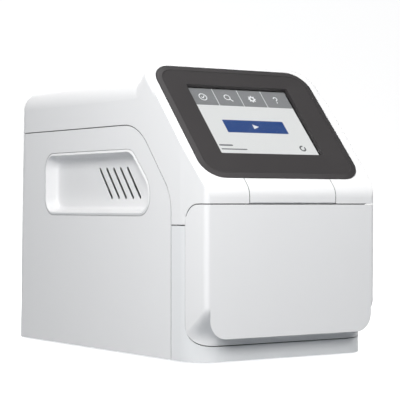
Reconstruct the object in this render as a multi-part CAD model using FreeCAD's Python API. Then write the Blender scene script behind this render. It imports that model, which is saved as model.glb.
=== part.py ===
import FreeCAD, Part
import math
import os
from FreeCAD import Vector

# Portable chemistry analyzer: a bench housing with a sloped screen, a motor driven sample drawer
# with a spinning disc chuck, the measuring unit over it and the electronics behind it.
# Millimetres. +X is the right side seen from the front, +Y points to the rear, +Z is up.
# The origin lies on the bench, in the middle of the footprint.

# Housing
HOUSING_WIDTH = 200.0
HOUSING_DEPTH = 352.0
DRAWER_PROUD = 12.0
BASE_CLEARANCE = 2.0
DECK_HEIGHT = 263.0
REAR_DRAFT = 8.5
REAR_FOOT_RADIUS = 6.0
WALL = 2.5
SEAM_GAP = 0.9
LAP_THICKNESS = 1.2
LAP_REACH = 4.0
FRONT_CORNER_RADIUS = 25.0
REAR_CORNER_RADIUS = 24.0
DECK_EDGE_RADIUS = 21.0
NOSE_TAPER = 2.7
NOSE_CREASE_RADIUS = 5.0
NOSE_BLEND_START = 36.0
FRONT_EDGE_RADIUS = 18.0

# Seams, as seen from the side
SIDE_SEAM_HEIGHT = 217.8
SIDE_SEAM_SETBACK = 39.6
SIDE_SEAM_SLOPE = 49.4
SIDE_SEAM_KNEE_HEIGHT = 151.2
SIDE_SEAM_TOP_RADIUS = 54.0
SIDE_SEAM_KNEE_RADIUS = 40.0
PILLAR_SEAM_HEIGHT = 124.0
DRAWER_SEAM_SETBACK = 17.7
DRAWER_TOP = 143.0
DRAWER_BOTTOM = 16.0
DRAWER_TOP_RADIUS = 18.5
DRAWER_BOTTOM_RADIUS = 20.0

# Screen pod
SCREEN_TILT = 48.5
SCREEN_SETBACK = 49.7
SCREEN_HEIGHT = 220.75
POD_OVER_SCREEN = 3.4
POD_TOP = 72.6
POD_DEPTH = 34.0
POD_CORNER_RADIUS = 25.0
POD_EDGE_RADIUS = 3.5
BEZEL_SIDE_MARGIN = 10.3
BEZEL_BOTTOM = -74.9
BEZEL_TOP = 67.0
BEZEL_CORNER_RADIUS = 21.0
BEZEL_GAP = 0.8
BEZEL_SEAT_DEPTH = 1.5
BEZEL_RIM_WIDTH = 5.0
BEZEL_RIM_RISE = 1.0
BEZEL_STEP = 0.4
BEZEL_STEP_WIDTH = 0.8
BEZEL_UNDER_SCREEN = 0.5
WINDOW_WIDTH = 117.2
WINDOW_HEIGHT = 87.8
WINDOW_FLARE = 0.6
WINDOW_DEPTH = 3.2
WINDOW_CORNER_RADIUS = 0.8
GLASS_BORDER = 2.5
GLASS_THICKNESS = 1.2
GLASS_GAP = 0.2
LCD_WIDTH = 126.0
LCD_HEIGHT = 98.0
LCD_THICKNESS = 5.0
LCD_HOLE_MARGIN = 2.0
LCD_BRACKET_WIDTH = 158.0
LCD_BRACKET_HEIGHT = 120.0
LCD_BRACKET_SHEET = 1.5
LCD_BRACKET_CORNER_RADIUS = 4.0
LCD_POST_RADIUS = 3.0
LCD_POST_INSET = 5.0
DISPLAY_BOARD_WIDTH = 110.0
DISPLAY_BOARD_HEIGHT = 76.0
BOARD_THICKNESS = 1.6
BOARD_STANDOFF = 3.0
BOARD_STANDOFF_RADIUS = 2.5
BOARD_STANDOFF_INSET = 6.0

# Side grip recess with its vent slots
GRIP_FRONT = 75.7
GRIP_REAR = 279.0
GRIP_BOTTOM = 132.3
GRIP_TOP = 194.6
GRIP_DEPTH = 12.0
GRIP_TAPER = 6.0
GRIP_FLOOR_RADIUS = 4.0
GRIP_SLOPE_RISE = 33.0
GRIP_SLOPE_RUN = 32.0
GRIP_FRONT_RADIUS = 18.0
GRIP_KNEE_RADIUS = 22.0
GRIP_BROW_RADIUS = 20.0
GRIP_REAR_RADIUS = 17.0
BEAD_WIDTH = 2.2
BEAD_HEIGHT = 0.8
BEAD_GROOVE = 0.6
SLOT_COUNT = 5
SLOT_PITCH = 13.1
SLOT_WIDTH = 3.4
SLOT_LIP = 0.9
SLOT_RELIEF = 2.0
SLOT_RISE = 30.4
SLOT_RUN = 25.0
SLOT_FIRST = 123.2
SLOT_MIDDLE_HEIGHT = 163.3

# Drawer front
FACE_BOTTOM = 23.0
FACE_CORNER_RADIUS = 17.0
FACE_WALL = 3.5
FACE_UNDERCUT = 11.0
SCOOP_TOP = 52.0
SCOOP_BOTTOM = 20.0
SCOOP_STEPS = 6
FLAT_TAPER = 0.04

# Drawer tray and disc well
TRAVEL = 135.0
BRACKET_SIDE_GAP = 9.7
TRAY_REAR = 200.0
TRAY_TOP = 100.0
TRAY_SHEET = 3.0
TRAY_SKIRT_BOTTOM = 62.0
TRAY_FLANGE_BOTTOM = 56.0
TRAY_FLANGE_TOP = 112.0
WELL_SETBACK = 72.0
WELL_RADIUS = 49.0
WELL_DEPTH = 21.0
RAIL_THICKNESS = 3.0
RAIL_HEIGHT = 12.0
RAIL_MIDDLE_HEIGHT = 86.0
RAIL_CLEARANCE = 0.3
GUIDE_SHEET = 2.5
GUIDE_FRONT = 22.0
BRACKET_SHEET = 2.0
BRACKET_FOOT = 14.0

# Drawer drive
TOOTH_MODULE = 1.0
PINION_TEETH = 20
PRESSURE_ANGLE = 20.0
TOOTH_BACKLASH = 0.12
TOOTH_TIP = 0.85
TOOTH_ROOT = 1.2
RACK_WIDTH = 9.0
RACK_BODY = 6.0
PINION_SETBACK = 55.0
PINION_WIDTH = 6.0
PINION_SHAFT_RADIUS = 2.0
DRIVE_MOTOR_RADIUS = 12.0
DRIVE_MOTOR_LENGTH = 26.0
SHAFT_CLEARANCE = 0.05
SHAFT_END_GAP = 0.5
MOTOR_FACE_GAP = 1.0

# Disc spindle
SPINDLE_MOTOR_RADIUS = 17.0
SPINDLE_MOTOR_LENGTH = 26.0
SPINDLE_SHAFT_RADIUS = 2.5
TURNTABLE_RADIUS = 15.0
TURNTABLE_THICKNESS = 4.0
TURNTABLE_HUB_RADIUS = 6.0
TURNTABLE_HUB_HEIGHT = 5.0
DRIVE_PIN_RADIUS = 1.2
DRIVE_PIN_HEIGHT = 2.5
DRIVE_PIN_CIRCLE = 10.5
DRIVE_PIN_COUNT = 3
TURNTABLE_LIFT = 2.0

# Measuring unit over the tray
DECK_GAP = 14.0
DECK_SHEET = 3.0
LID_THICKNESS = 9.0
LID_WIDTH = 112.0
LID_DEPTH = 104.0
LAMP_WIDTH = 34.0
LAMP_DEPTH = 30.0
LAMP_HEIGHT = 42.0
LAMP_SETBACK = 150.0
LENS_RADIUS = 9.0
LENS_LENGTH = 36.0
LENS_BORE_RADIUS = 6.0
DETECTOR_WIDTH = 40.0
DETECTOR_DEPTH = 22.0
DETECTOR_OVER_LENS = 3.0

# Flap under the screen
FLAP_WIDTH = 98.0
FLAP_GAP = 0.8
FLAP_KNUCKLE_RADIUS = 1.75
FLAP_PIN_RADIUS = 0.9
FLAP_PIN_LENGTH = 9.0
FLAP_PIN_DEPTH = 4.0
FLAP_BOSS_HEIGHT = 5.0
FLAP_BOSS_DEPTH = 4.5
FLAP_TOP_UNDER_BEZEL = 0.9
PORT_SHELF_DEPTH = 30.0
PORT_SHELF_WIDTH = 84.0
USB_WIDTH = 13.2
USB_HEIGHT = 5.8
USB_DEPTH = 14.0
USB_SPACING = 34.0
USB_WALL = 0.5
CARD_SLOT_WIDTH = 26.0
CARD_SLOT_HEIGHT = 4.0
CARD_GAP = 1.2
CARD_SLOT_SIDE = 4.0
CARD_SLOT_DEPTH = 21.0
CARD_GAP_DEPTH = 15.0
USB_TONGUE_SETBACK = 2.0
USB_TONGUE_SIDE = 1.2
USB_TONGUE_BOTTOM = 2.6
USB_TONGUE_TOP = 1.0
USB_OFFSET = 18.0
PORT_SETBACK = 1.0
PORT_WALL_GAP = 2.0

# Base, chassis and feet
FLOOR = 3.0
CHASSIS_SHEET = 1.5
CHASSIS_GAP = 4.0
CHASSIS_SIDE_GAP = 3.0
FOOT_RADIUS = 9.0
FOOT_STUD_RADIUS = 4.0
FOOT_INSET_X = 25.0
FOOT_INSET_Y = 40.0

# Electronics
BOARD_PLATE_GAP = 16.0
BOARD_PLATE_SIDE_GAP = 17.5
BOARD_PLATE_TOP = 205.0
BOARD_PLATE_SHEET = 1.5
MAIN_BOARD_WIDTH = 130.0
MAIN_BOARD_HEIGHT = 120.0
MAIN_BOARD_BOTTOM = 64.0
MAIN_STANDOFF = 6.0
CHIP_SIZE = 22.0
CHIP_HEIGHT = 2.0
CAPACITOR_RADIUS = 5.0
CAPACITOR_HEIGHT = 12.0
CAPACITOR_COUNT = 4
CAPACITOR_START = 20.0
CAPACITOR_PITCH = 12.0
PARTS_HEIGHT = 14.0
CHIP_LIFT = 30.0
MEMORY_COUNT = 3
MEMORY_START = -48.0
MEMORY_PITCH = 14.0
MEMORY_WIDTH = 8.0
MEMORY_LENGTH = 16.0
MEMORY_LIFT = 40.0
SUPPLY_WIDTH = 74.0
SUPPLY_DEPTH = 74.0
SUPPLY_HEIGHT = 38.0
SUPPLY_SIDE_GAP = 10.0
SUPPLY_FRONT_GAP = 3.0
SUPPLY_VENT_COUNT = 6
SUPPLY_VENT_PITCH = 9.0
SUPPLY_VENT_WIDTH = 3.0
SUPPLY_VENT_MARGIN = 14.0
SUPPLY_VENT_DEPTH = 2.0

# Rear panel and what it carries
REAR_PANEL_SETBACK = 12.0
REAR_PANEL_SHEET = 2.0
REAR_PANEL_SIDE_INSET = 18.0
REAR_POST_DEPTH = 8.0
REAR_POST_WIDTH = 8.0
REAR_POST_GAP = 0.5
IO_BOARD_MARGIN = 11.0
IO_BOARD_DEPTH = 28.0
REAR_PANEL_TOP = 222.0
FAN_SIZE = 60.0
FAN_DEPTH = 15.0
FAN_BORE_RADIUS = 28.0
FAN_HUB_RADIUS = 11.0
FAN_BLADE_COUNT = 7
FAN_BLADE_CLEARANCE = 1.0
FAN_SIDE = 67.0
FAN_Z = 160.0
FAN_CORNER_HOLE = 25.0
FAN_PIN_RADIUS = 2.0
FAN_PIN_LENGTH = 8.0
FAN_PIN_END_GAP = 0.4
FAN_CORNER_RADIUS = 4.0
FAN_SPOKE_TURNS = (45, 165, 285)
FAN_SPOKE_WIDTH = 4.0
FAN_SPOKE_DEPTH = 2.0
FAN_ROTOR_FRONT_GAP = 2.6
FAN_ROTOR_REAR_GAP = 1.5
FAN_BLADE_THICKNESS = 1.6
FAN_BLADE_CHORD = 13.0
FAN_BLADE_PITCH = 52.0
FAN_BLADE_ROOT = 2.0
GRILLE_SLOT_WIDTH = 3.2
GRILLE_BAR_WIDTH = 2.4
INLET_SIDE = 55.0
INLET_Z = 70.0
INLET_FLANGE_WIDTH = 48.0
INLET_FLANGE_HEIGHT = 28.0
INLET_FLANGE_THICKNESS = 2.0
INLET_BODY_WIDTH = 28.0
INLET_BODY_HEIGHT = 20.0
INLET_BODY_DEPTH = 20.0
INLET_SOCKET_WIDTH = 24.0
INLET_SOCKET_HEIGHT = 16.0
INLET_SOCKET_DEPTH = 16.0
INLET_CORNER_RADIUS = 4.0
INLET_PIN_LENGTH = 10.0
INLET_PIN_WIDTH = 2.0
INLET_PIN_HEIGHT = 4.0
INLET_PIN_PLACES = ((-7, -2), (0, 2), (7, -2))
SWITCH_SIDE = 55.0
SWITCH_Z = 104.0
SWITCH_WIDTH = 26.0
SWITCH_HEIGHT = 18.0
SWITCH_DEPTH = 14.0
SWITCH_FLANGE = 2.0
SWITCH_FRAME_WALL = 2.0
ROCKER_AXIS_DEPTH = 3.5
ROCKER_UNDER = 2.5
ROCKER_OVER = 3.5
ROCKER_PIN_RADIUS = 1.0
ROCKER_END_GAP = 1.0
ROCKER_THROW = 14.0
ROCKER_GAP = 0.4
NETWORK_SIDE = 75.0
NETWORK_Z = 60.0
NETWORK_WIDTH = 16.0
NETWORK_HEIGHT = 13.5
NETWORK_DEPTH = 18.0
NETWORK_WALL = 1.5
REAR_USB_SIDE = 48.0
SOCKET_PROUD = 0.8
SCREW_HEAD_RADIUS = 3.0
SCREW_HEAD_HEIGHT = 1.8
SCREW_SHANK_RADIUS = 1.5
SCREW_SHANK_LENGTH = 5.0
SCREW_DRIVE_RADIUS = 1.2
SCREW_DRIVE_DEPTH = 0.9
SCREW_INSET = 8.0

# Places worked out from the sizes above
HALF_WIDTH = HOUSING_WIDTH / 2
NOSE_Y = -(HOUSING_DEPTH + DRAWER_PROUD) / 2
FRONT_Y = NOSE_Y + DRAWER_PROUD
REAR_Y = FRONT_Y + HOUSING_DEPTH
FAR = 60.0
FAN_X = HALF_WIDTH - FAN_SIDE
INLET_X = -HALF_WIDTH + INLET_SIDE
SWITCH_X = -HALF_WIDTH + SWITCH_SIDE
NETWORK_X = HALF_WIDTH - NETWORK_SIDE
REAR_USB_X = HALF_WIDTH - REAR_USB_SIDE
SIDE_SEAM_Y = FRONT_Y + SIDE_SEAM_SETBACK
DRAWER_SEAM_Y = FRONT_Y + DRAWER_SEAM_SETBACK
FLOOR_TOP = BASE_CLEARANCE + FLOOR
CHASSIS_BOTTOM = FLOOR_TOP + CHASSIS_GAP
CHASSIS_TOP = CHASSIS_BOTTOM + CHASSIS_SHEET
SCREEN_CENTRE = Vector(0, FRONT_Y + SCREEN_SETBACK, SCREEN_HEIGHT)
SCREEN_PLACEMENT = FreeCAD.Placement(SCREEN_CENTRE, FreeCAD.Rotation(Vector(1, 0, 0), SCREEN_TILT))
REAR_PANEL_OUT = REAR_Y - REAR_PANEL_SETBACK
REAR_PANEL_IN = REAR_PANEL_OUT - REAR_PANEL_SHEET
PITCH_RADIUS = TOOTH_MODULE * PINION_TEETH / 2
TOOTH_PITCH = math.pi * TOOTH_MODULE
PINION_Y = FRONT_Y + PINION_SETBACK
RACK_PITCH_HEIGHT = TRAY_SKIRT_BOTTOM + TOOTH_ROOT * TOOTH_MODULE
PINION_Z = RACK_PITCH_HEIGHT - PITCH_RADIUS
TRAY_FRONT_Y = NOSE_Y + FACE_WALL
TRAY_REAR_Y = FRONT_Y + TRAY_REAR
WELL_Y = FRONT_Y + WELL_SETBACK
WELL_FLOOR = TRAY_TOP - WELL_DEPTH
GUIDE_OUT = HALF_WIDTH - WALL - BRACKET_SIDE_GAP - BRACKET_SHEET
GUIDE_IN = GUIDE_OUT - GUIDE_SHEET
TRAY_SIDE = GUIDE_IN - RAIL_CLEARANCE - RAIL_THICKNESS
DECK_BOTTOM = TRAY_TOP + DECK_GAP
DECK_TOP = DECK_BOTTOM + DECK_SHEET
HINGE_Y = NOSE_Y + FLAP_KNUCKLE_RADIUS
HINGE_Z = DRAWER_TOP + SEAM_GAP / 2 + FLAP_KNUCKLE_RADIUS


def block(x0, x1, y0, y1, z0, z1):
    """Box between two corners."""
    return Part.makeBox(x1 - x0, y1 - y0, z1 - z0, Vector(x0, y0, z0))


def rod(start, direction, radius, length):
    """Cylinder from a start point along a direction."""
    return Part.makeCylinder(radius, length, start, direction)


def fuse_all(shapes):
    """One shape from many that touch or overlap."""
    joined = shapes[0]
    if len(shapes) > 1:
        joined = joined.multiFuse(shapes[1:])
    return joined.removeSplitter()


def mirrored(shape):
    """The same piece for the other side."""
    return shape.mirror(Vector(0, 0, 0), Vector(1, 0, 0))


def rounded_wire(corners, place):
    """Closed wire through corners (a, b, radius), where place turns (a, b) into a point."""
    starts = []
    middles = []
    ends = []
    for index, (a, b, radius) in enumerate(corners):
        here = Vector(a, b, 0)
        before = Vector(corners[index - 1][0], corners[index - 1][1], 0)
        following = corners[(index + 1) % len(corners)]
        after = Vector(following[0], following[1], 0)
        back = (before - here).normalize()
        ahead = (after - here).normalize()
        half = back.getAngle(ahead) / 2
        reach = radius / math.tan(half)
        starts.append(here + back * reach)
        ends.append(here + ahead * reach)
        inward = (back + ahead).normalize() if radius else Vector(0, 0, 0)
        middles.append(here + inward * (radius / math.sin(half) - radius))
    edges = []
    for index, corner in enumerate(corners):
        if corner[2]:
            arc = Part.Arc(place(starts[index]), place(middles[index]), place(ends[index]))
            edges.append(arc.toShape())
        finish = starts[(index + 1) % len(corners)]
        if ends[index].distanceToPoint(finish) > 0.001:
            edges.append(Part.LineSegment(place(ends[index]), place(finish)).toShape())
    return Part.Wire(edges)


def side_prism(corners, x0, x1, grow=0.0):
    """Prism across the housing from an outline of (y, z, radius) corners, grown all round."""
    wire = rounded_wire(corners, lambda p: Vector(x0, p.x, p.y))
    if grow:
        wire = wire.makeOffset2D(grow)
    return Part.Face(wire).extrude(Vector(x1 - x0, 0, 0))


def plan_wire(corners, height):
    """Level wire of (x, y, radius) corners at a height."""
    return rounded_wire(corners, lambda p: Vector(p.x, p.y, height))


def front_prism(corners, y0, y1):
    """Prism along the housing from an outline of (x, z, radius) corners."""
    wire = rounded_wire(corners, lambda p: Vector(p.x, y0, p.y))
    return Part.Face(wire).extrude(Vector(0, y1 - y0, 0))


def screen_outline(half_width, bottom, top, radius, level):
    """Rounded rectangle at one level over the glass, before it is tilted."""
    corners = [(-half_width, bottom, radius), (half_width, bottom, radius),
               (half_width, top, radius), (-half_width, top, radius)]
    return rounded_wire(corners, lambda p: Vector(p.x, p.y, level))


def screen_slab(half_width, bottom, top, radius, low, high):
    """Rounded plate in the plane of the screen, between two levels over the glass."""
    slab = Part.Face(screen_outline(half_width, bottom, top, radius, low)).extrude(Vector(0, 0, high - low))
    slab.Placement = SCREEN_PLACEMENT
    return slab


def screen_rod(u, v, radius, low, high):
    """Post square to the screen."""
    post = Part.makeCylinder(radius, high - low, Vector(u, v, low))
    post.Placement = SCREEN_PLACEMENT
    return post


def base_plan(inset, rear_shift, height):
    """Outline of the housing seen from above, without the proud drawer and cover front."""
    half = HALF_WIDTH - inset
    front = FRONT_CORNER_RADIUS - inset
    rear = REAR_CORNER_RADIUS - inset
    corners = [(-half, FRONT_Y + inset, front), (half, FRONT_Y + inset, front),
               (half, REAR_Y - inset - rear_shift, rear), (-half, REAR_Y - inset - rear_shift, rear)]
    return plan_wire(corners, height)


def main_block(inset, bottom):
    """Body under the deck: drafted rear face, rounded plan corners and rounded deck edges."""
    top = DECK_HEIGHT - inset
    drop = REAR_DRAFT * (BASE_CLEARANCE - bottom) / (DECK_HEIGHT - BASE_CLEARANCE)
    rise = REAR_DRAFT * (top - BASE_CLEARANCE) / (DECK_HEIGHT - BASE_CLEARANCE)
    body = Part.makeLoft([base_plan(inset, -drop, bottom), base_plan(inset, rise, top)], True, True)
    rim = [edge for edge in body.Edges if edge.BoundBox.ZMin > top - 0.01]
    return body.makeFillet(DECK_EDGE_RADIUS - inset, rim)


def front_plan(height, proud, crease, taper, inset=0.0):
    """Outline seen from above of the front: its sides are drawn in by a long soft arc."""
    start = FRONT_Y + NOSE_BLEND_START
    half = HALF_WIDTH - inset
    front = FRONT_Y - proud + inset
    crease = crease - inset
    edge = half - taper
    run = start - (front + crease)
    corner = crease * (1 - math.sqrt(0.5))
    rear = start + DRAWER_PROUD
    edges = []
    ends = []
    for sign in (1, -1):
        tip = Vector(sign * edge, front + crease, height)
        middle = Vector(sign * (half - taper / 4), start - run / 2, height)
        body = Vector(sign * half, start, height)
        nose = Vector(sign * (edge - crease), front, height)
        turn = Vector(sign * (edge - corner), front + corner, height)
        back = Vector(sign * half, rear, height)
        side = [Part.Arc(nose, turn, tip).toShape(), Part.Arc(tip, middle, body).toShape(),
                Part.LineSegment(body, back).toShape()]
        edges.append(side)
        ends.append((nose, back))
    front_edge = Part.LineSegment(ends[1][0], ends[0][0]).toShape()
    rear_edge = Part.LineSegment(ends[0][1], ends[1][1]).toShape()
    return Part.Wire([front_edge] + edges[0] + [rear_edge] + edges[1][::-1])


def nose_plan(inset, height):
    """Outline of the proud front at full height."""
    return front_plan(height, DRAWER_PROUD, NOSE_CREASE_RADIUS, NOSE_TAPER, inset)


def nose_block(inset, bottom, top):
    """Prism of the proud front between two heights."""
    return Part.Face(nose_plan(inset, bottom)).extrude(Vector(0, 0, top - bottom))


def slope_cut(inset):
    """Everything above the sloped front, with the soft edge where it meets the upright front."""
    slope = math.radians(SCREEN_TILT)
    lift = POD_OVER_SCREEN - inset
    base_y = SCREEN_CENTRE.y - lift * math.sin(slope)
    base_z = SCREEN_CENTRE.z + lift * math.cos(slope)
    front = NOSE_Y + inset
    meet_z = base_z + (front - base_y) * math.tan(slope)
    far_y = base_y + (FAR + DECK_HEIGHT - base_z) / math.tan(slope)
    corners = [(front, DRAWER_TOP - FAR, 0), (front, meet_z, FRONT_EDGE_RADIUS - inset),
               (far_y, DECK_HEIGHT + FAR, 0), (far_y, DECK_HEIGHT + 2 * FAR, 0),
               (front - FAR, DECK_HEIGHT + 2 * FAR, 0), (front - FAR, DRAWER_TOP - FAR, 0)]
    return side_prism(corners, -HOUSING_WIDTH, HOUSING_WIDTH)


def screen_pod(inset):
    """Raised block that carries the screen, with rounded upper corners."""
    half = HALF_WIDTH - inset
    radius = POD_CORNER_RADIUS - inset
    top = POD_TOP - inset
    corners = [(-half, -top - FAR, 0), (half, -top - FAR, 0), (half, top, radius), (-half, top, radius)]
    wire = rounded_wire(corners, lambda p: Vector(p.x, p.y, -POD_DEPTH))
    slab = Part.Face(wire).extrude(Vector(0, 0, POD_DEPTH + POD_OVER_SCREEN - inset))
    rim = [edge for edge in slab.Edges
           if edge.BoundBox.ZMin > POD_OVER_SCREEN - inset - 0.01 and edge.BoundBox.YMax > -top]
    slab = slab.makeFillet(POD_EDGE_RADIUS, rim)
    slab.Placement = SCREEN_PLACEMENT
    return slab


def envelope(inset, bottom):
    """Closed outside of base and cover together, drawn in by inset on every side."""
    tall = nose_block(inset, DRAWER_TOP - FAR, DECK_HEIGHT + FAR)
    rear = block(-HOUSING_WIDTH, HOUSING_WIDTH, FRONT_Y + NOSE_BLEND_START, REAR_Y, 0, DECK_HEIGHT + FAR)
    pod = screen_pod(inset).common(tall.fuse(rear))
    nose = nose_block(inset, DRAWER_TOP - WALL, SCREEN_HEIGHT - FAR / 2)
    body = main_block(inset, bottom).fuse(nose).cut(slope_cut(inset))
    return body.fuse(pod.cut(slope_cut(inset)))


def soften(body):
    """The body with its lower rear edge rounded."""
    side = [(NOSE_Y, BASE_CLEARANCE, 0), (REAR_Y, BASE_CLEARANCE, REAR_FOOT_RADIUS),
            (REAR_Y, DECK_HEIGHT + FAR, 0), (NOSE_Y, DECK_HEIGHT + FAR, 0)]
    return body.common(side_prism(side, -HOUSING_WIDTH, HOUSING_WIDTH))


def cover_zone(grow):
    """Side view of the part of the housing that belongs to the cover."""
    rise = SIDE_SEAM_HEIGHT - SIDE_SEAM_KNEE_HEIGHT
    knee_y = SIDE_SEAM_Y + rise / math.tan(math.radians(SIDE_SEAM_SLOPE))
    corners = [(REAR_Y + FAR, SIDE_SEAM_HEIGHT, 0), (knee_y, SIDE_SEAM_HEIGHT, SIDE_SEAM_TOP_RADIUS),
               (SIDE_SEAM_Y, SIDE_SEAM_KNEE_HEIGHT, SIDE_SEAM_KNEE_RADIUS),
               (SIDE_SEAM_Y, PILLAR_SEAM_HEIGHT, 0), (DRAWER_SEAM_Y, PILLAR_SEAM_HEIGHT, 0),
               (DRAWER_SEAM_Y, DRAWER_TOP, DRAWER_TOP_RADIUS), (NOSE_Y - FAR, DRAWER_TOP, 0),
               (NOSE_Y - FAR, DECK_HEIGHT + FAR, 0), (REAR_Y + FAR, DECK_HEIGHT + FAR, 0)]
    return side_prism(corners, -HOUSING_WIDTH, HOUSING_WIDTH, grow)


def drawer_zone(grow):
    """Side view of the part of the front that belongs to the drawer."""
    corners = [(DRAWER_SEAM_Y, DRAWER_BOTTOM, DRAWER_BOTTOM_RADIUS),
               (DRAWER_SEAM_Y, DRAWER_TOP, DRAWER_TOP_RADIUS),
               (NOSE_Y - FAR, DRAWER_TOP, 0), (NOSE_Y - FAR, DRAWER_BOTTOM, 0)]
    return side_prism(corners, -HOUSING_WIDTH, HOUSING_WIDTH, grow)


OUTSIDE = soften(envelope(0.0, BASE_CLEARANCE))
INSIDE = envelope(WALL, BASE_CLEARANCE - FAR)
SKIN = OUTSIDE.cut(INSIDE)
HALF_SEAM = SEAM_GAP / 2


def flap_opening(grow):
    """Space of the flap under the screen, seen from the front."""
    half = FLAP_WIDTH / 2 + grow
    top = BEZEL_BOTTOM - FLAP_TOP_UNDER_BEZEL + grow
    limit = screen_slab(HOUSING_WIDTH, top, BEZEL_TOP, 0, -FAR, FAR)
    space = block(-half, half, NOSE_Y - FAR, SCREEN_CENTRE.y, DRAWER_TOP, SCREEN_HEIGHT)
    return space.cut(limit)


def screen_neck(gap, low, high):
    """Opening for the display in the cover, or with a gap the bezel's neck that fits it."""
    half_w = LCD_WIDTH / 2 + LCD_HOLE_MARGIN - gap
    half_h = LCD_HEIGHT / 2 + LCD_HOLE_MARGIN - gap
    return screen_slab(half_w, -half_h, half_h, LCD_HOLE_MARGIN, low, high)


def make_top_cover():
    """Cover with the pod, a stepped seat for the bezel, the flap's opening and its hinge bosses."""
    cover = SKIN.common(cover_zone(-HALF_SEAM))
    half = HALF_WIDTH - BEZEL_SIDE_MARGIN + BEZEL_GAP
    seat = screen_slab(half, BEZEL_BOTTOM - BEZEL_GAP, BEZEL_TOP + BEZEL_GAP,
                       BEZEL_CORNER_RADIUS + BEZEL_GAP, POD_OVER_SCREEN - BEZEL_SEAT_DEPTH, FAR)
    hole = screen_neck(0.0, -FAR / 2, FAR)
    cover = cover.cut(seat).cut(hole).cut(flap_opening(FLAP_GAP))
    bottom = DRAWER_TOP + HALF_SEAM
    start = FLAP_WIDTH / 2 + FLAP_GAP
    boss = block(start, start + FLAP_PIN_LENGTH, NOSE_Y + WALL / 2, NOSE_Y + FLAP_BOSS_DEPTH,
                 bottom, bottom + FLAP_BOSS_HEIGHT)
    cover = fuse_all([cover, boss, mirrored(boss)])
    bore = rod(Vector(-HALF_WIDTH, HINGE_Y, HINGE_Z), Vector(1, 0, 0), FLAP_PIN_RADIUS, HOUSING_WIDTH)
    reach = start + FLAP_PIN_LENGTH - FLAP_PIN_DEPTH / 2
    bore = bore.common(block(-reach, reach, NOSE_Y, FRONT_Y, bottom, SCREEN_HEIGHT))
    return cover.cut(bore)


def grip_corners():
    """Side view corners of the grip recess: a slanted front and a soft rear."""
    front = FRONT_Y + GRIP_FRONT
    rear = FRONT_Y + GRIP_REAR
    knee = GRIP_TOP - GRIP_SLOPE_RISE
    return [(front, GRIP_BOTTOM, GRIP_FRONT_RADIUS), (rear, GRIP_BOTTOM, GRIP_REAR_RADIUS),
            (rear, GRIP_TOP, GRIP_REAR_RADIUS), (front + GRIP_SLOPE_RUN, GRIP_TOP, GRIP_BROW_RADIUS),
            (front, knee, GRIP_KNEE_RADIUS)]


def grip_outline(grow, depth):
    """Outline of the grip recess on the left side, at a depth behind the wall's face."""
    wire = rounded_wire(grip_corners(), lambda p: Vector(-HALF_WIDTH, p.x, p.y))
    if grow:
        wire = wire.makeOffset2D(grow)
    wire.translate(Vector(depth, 0, 0))
    return wire


def dish_between(mouth, floor, floor_radius):
    """Tapered dish from its mouth to its floor, with a rounded floor edge."""
    dish = Part.makeLoft([mouth, floor], True, True)
    deep = floor.BoundBox.XMin - 0.01
    rim = [edge for edge in dish.Edges if edge.BoundBox.XMin > deep]
    return dish.makeFillet(floor_radius, rim)


def make_grip(panel):
    """The panel with the grip's bead, the fine groove around it and the dished recess."""
    bead = Part.makeLoft([grip_outline(0.0, 0.0), grip_outline(-BEAD_WIDTH, -BEAD_HEIGHT)], True, True)
    groove = Part.Face(grip_outline(BEAD_GROOVE, 0.0)).extrude(Vector(BEAD_GROOVE, 0, 0))
    groove = groove.cut(Part.Face(grip_outline(0.0, 0.0)).extrude(Vector(BEAD_GROOVE, 0, 0)))
    back = dish_between(grip_outline(WALL, 0.0), grip_outline(WALL - GRIP_TAPER, GRIP_DEPTH + WALL),
                        GRIP_FLOOR_RADIUS + WALL)
    hollow = dish_between(grip_outline(-BEAD_WIDTH, -BEAD_HEIGHT), grip_outline(-GRIP_TAPER, GRIP_DEPTH),
                          GRIP_FLOOR_RADIUS)
    return fuse_all([panel.cut(groove), back.cut(groove), bead]).cut(hollow)


def slanted_bar(width, outer, inner):
    """Round ended bar that leans like a vent slot, from an outer to an inner place across the panel."""
    reach = (math.hypot(SLOT_RISE, SLOT_RUN) + width - SLOT_WIDTH) / 2
    bar = block(outer, inner, -reach, reach, -width / 2, width / 2)
    ends = [edge for edge in bar.Edges if edge.BoundBox.XLength > (inner - outer) / 2]
    bar = bar.makeFillet(width / 2 - 0.01, ends)
    bar.rotate(Vector(0, 0, 0), Vector(1, 0, 0), math.degrees(math.atan2(SLOT_RISE, SLOT_RUN)))
    return bar


def vent_slots():
    """Row of slanted slots through the recess floor, each cut wider from the inside to a thin lip."""
    lip_back = -HALF_WIDTH + GRIP_DEPTH + SLOT_LIP
    slots = []
    for index in range(SLOT_COUNT):
        y = FRONT_Y + SLOT_FIRST + index * SLOT_PITCH
        for bar in (slanted_bar(SLOT_WIDTH, -HOUSING_WIDTH, 0),
                    slanted_bar(SLOT_WIDTH + 2 * SLOT_RELIEF, lip_back, 0)):
            bar.translate(Vector(0, y, SLOT_MIDDLE_HEIGHT))
            slots.append(bar)
    return slots


def seam_lap():
    """Inner lip along the seam that the cover and the pillar rest against."""
    ring = INSIDE.cut(envelope(WALL + LAP_THICKNESS, BASE_CLEARANCE - FAR))
    band = cover_zone(LAP_REACH).cut(cover_zone(-LAP_REACH))
    left = block(-HOUSING_WIDTH, -(HALF_WIDTH - REAR_CORNER_RADIUS) - HALF_SEAM,
                 SIDE_SEAM_Y - LAP_REACH, REAR_Y, FLOOR_TOP + SEAM_GAP, DECK_HEIGHT)
    upper = ring.common(band).common(left)
    edge = block(-HOUSING_WIDTH, 0, SIDE_SEAM_Y - LAP_REACH, SIDE_SEAM_Y + LAP_REACH,
                 FLOOR_TOP + SEAM_GAP, PILLAR_SEAM_HEIGHT)
    return upper.fuse(ring.common(edge)).removeSplitter()


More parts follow.
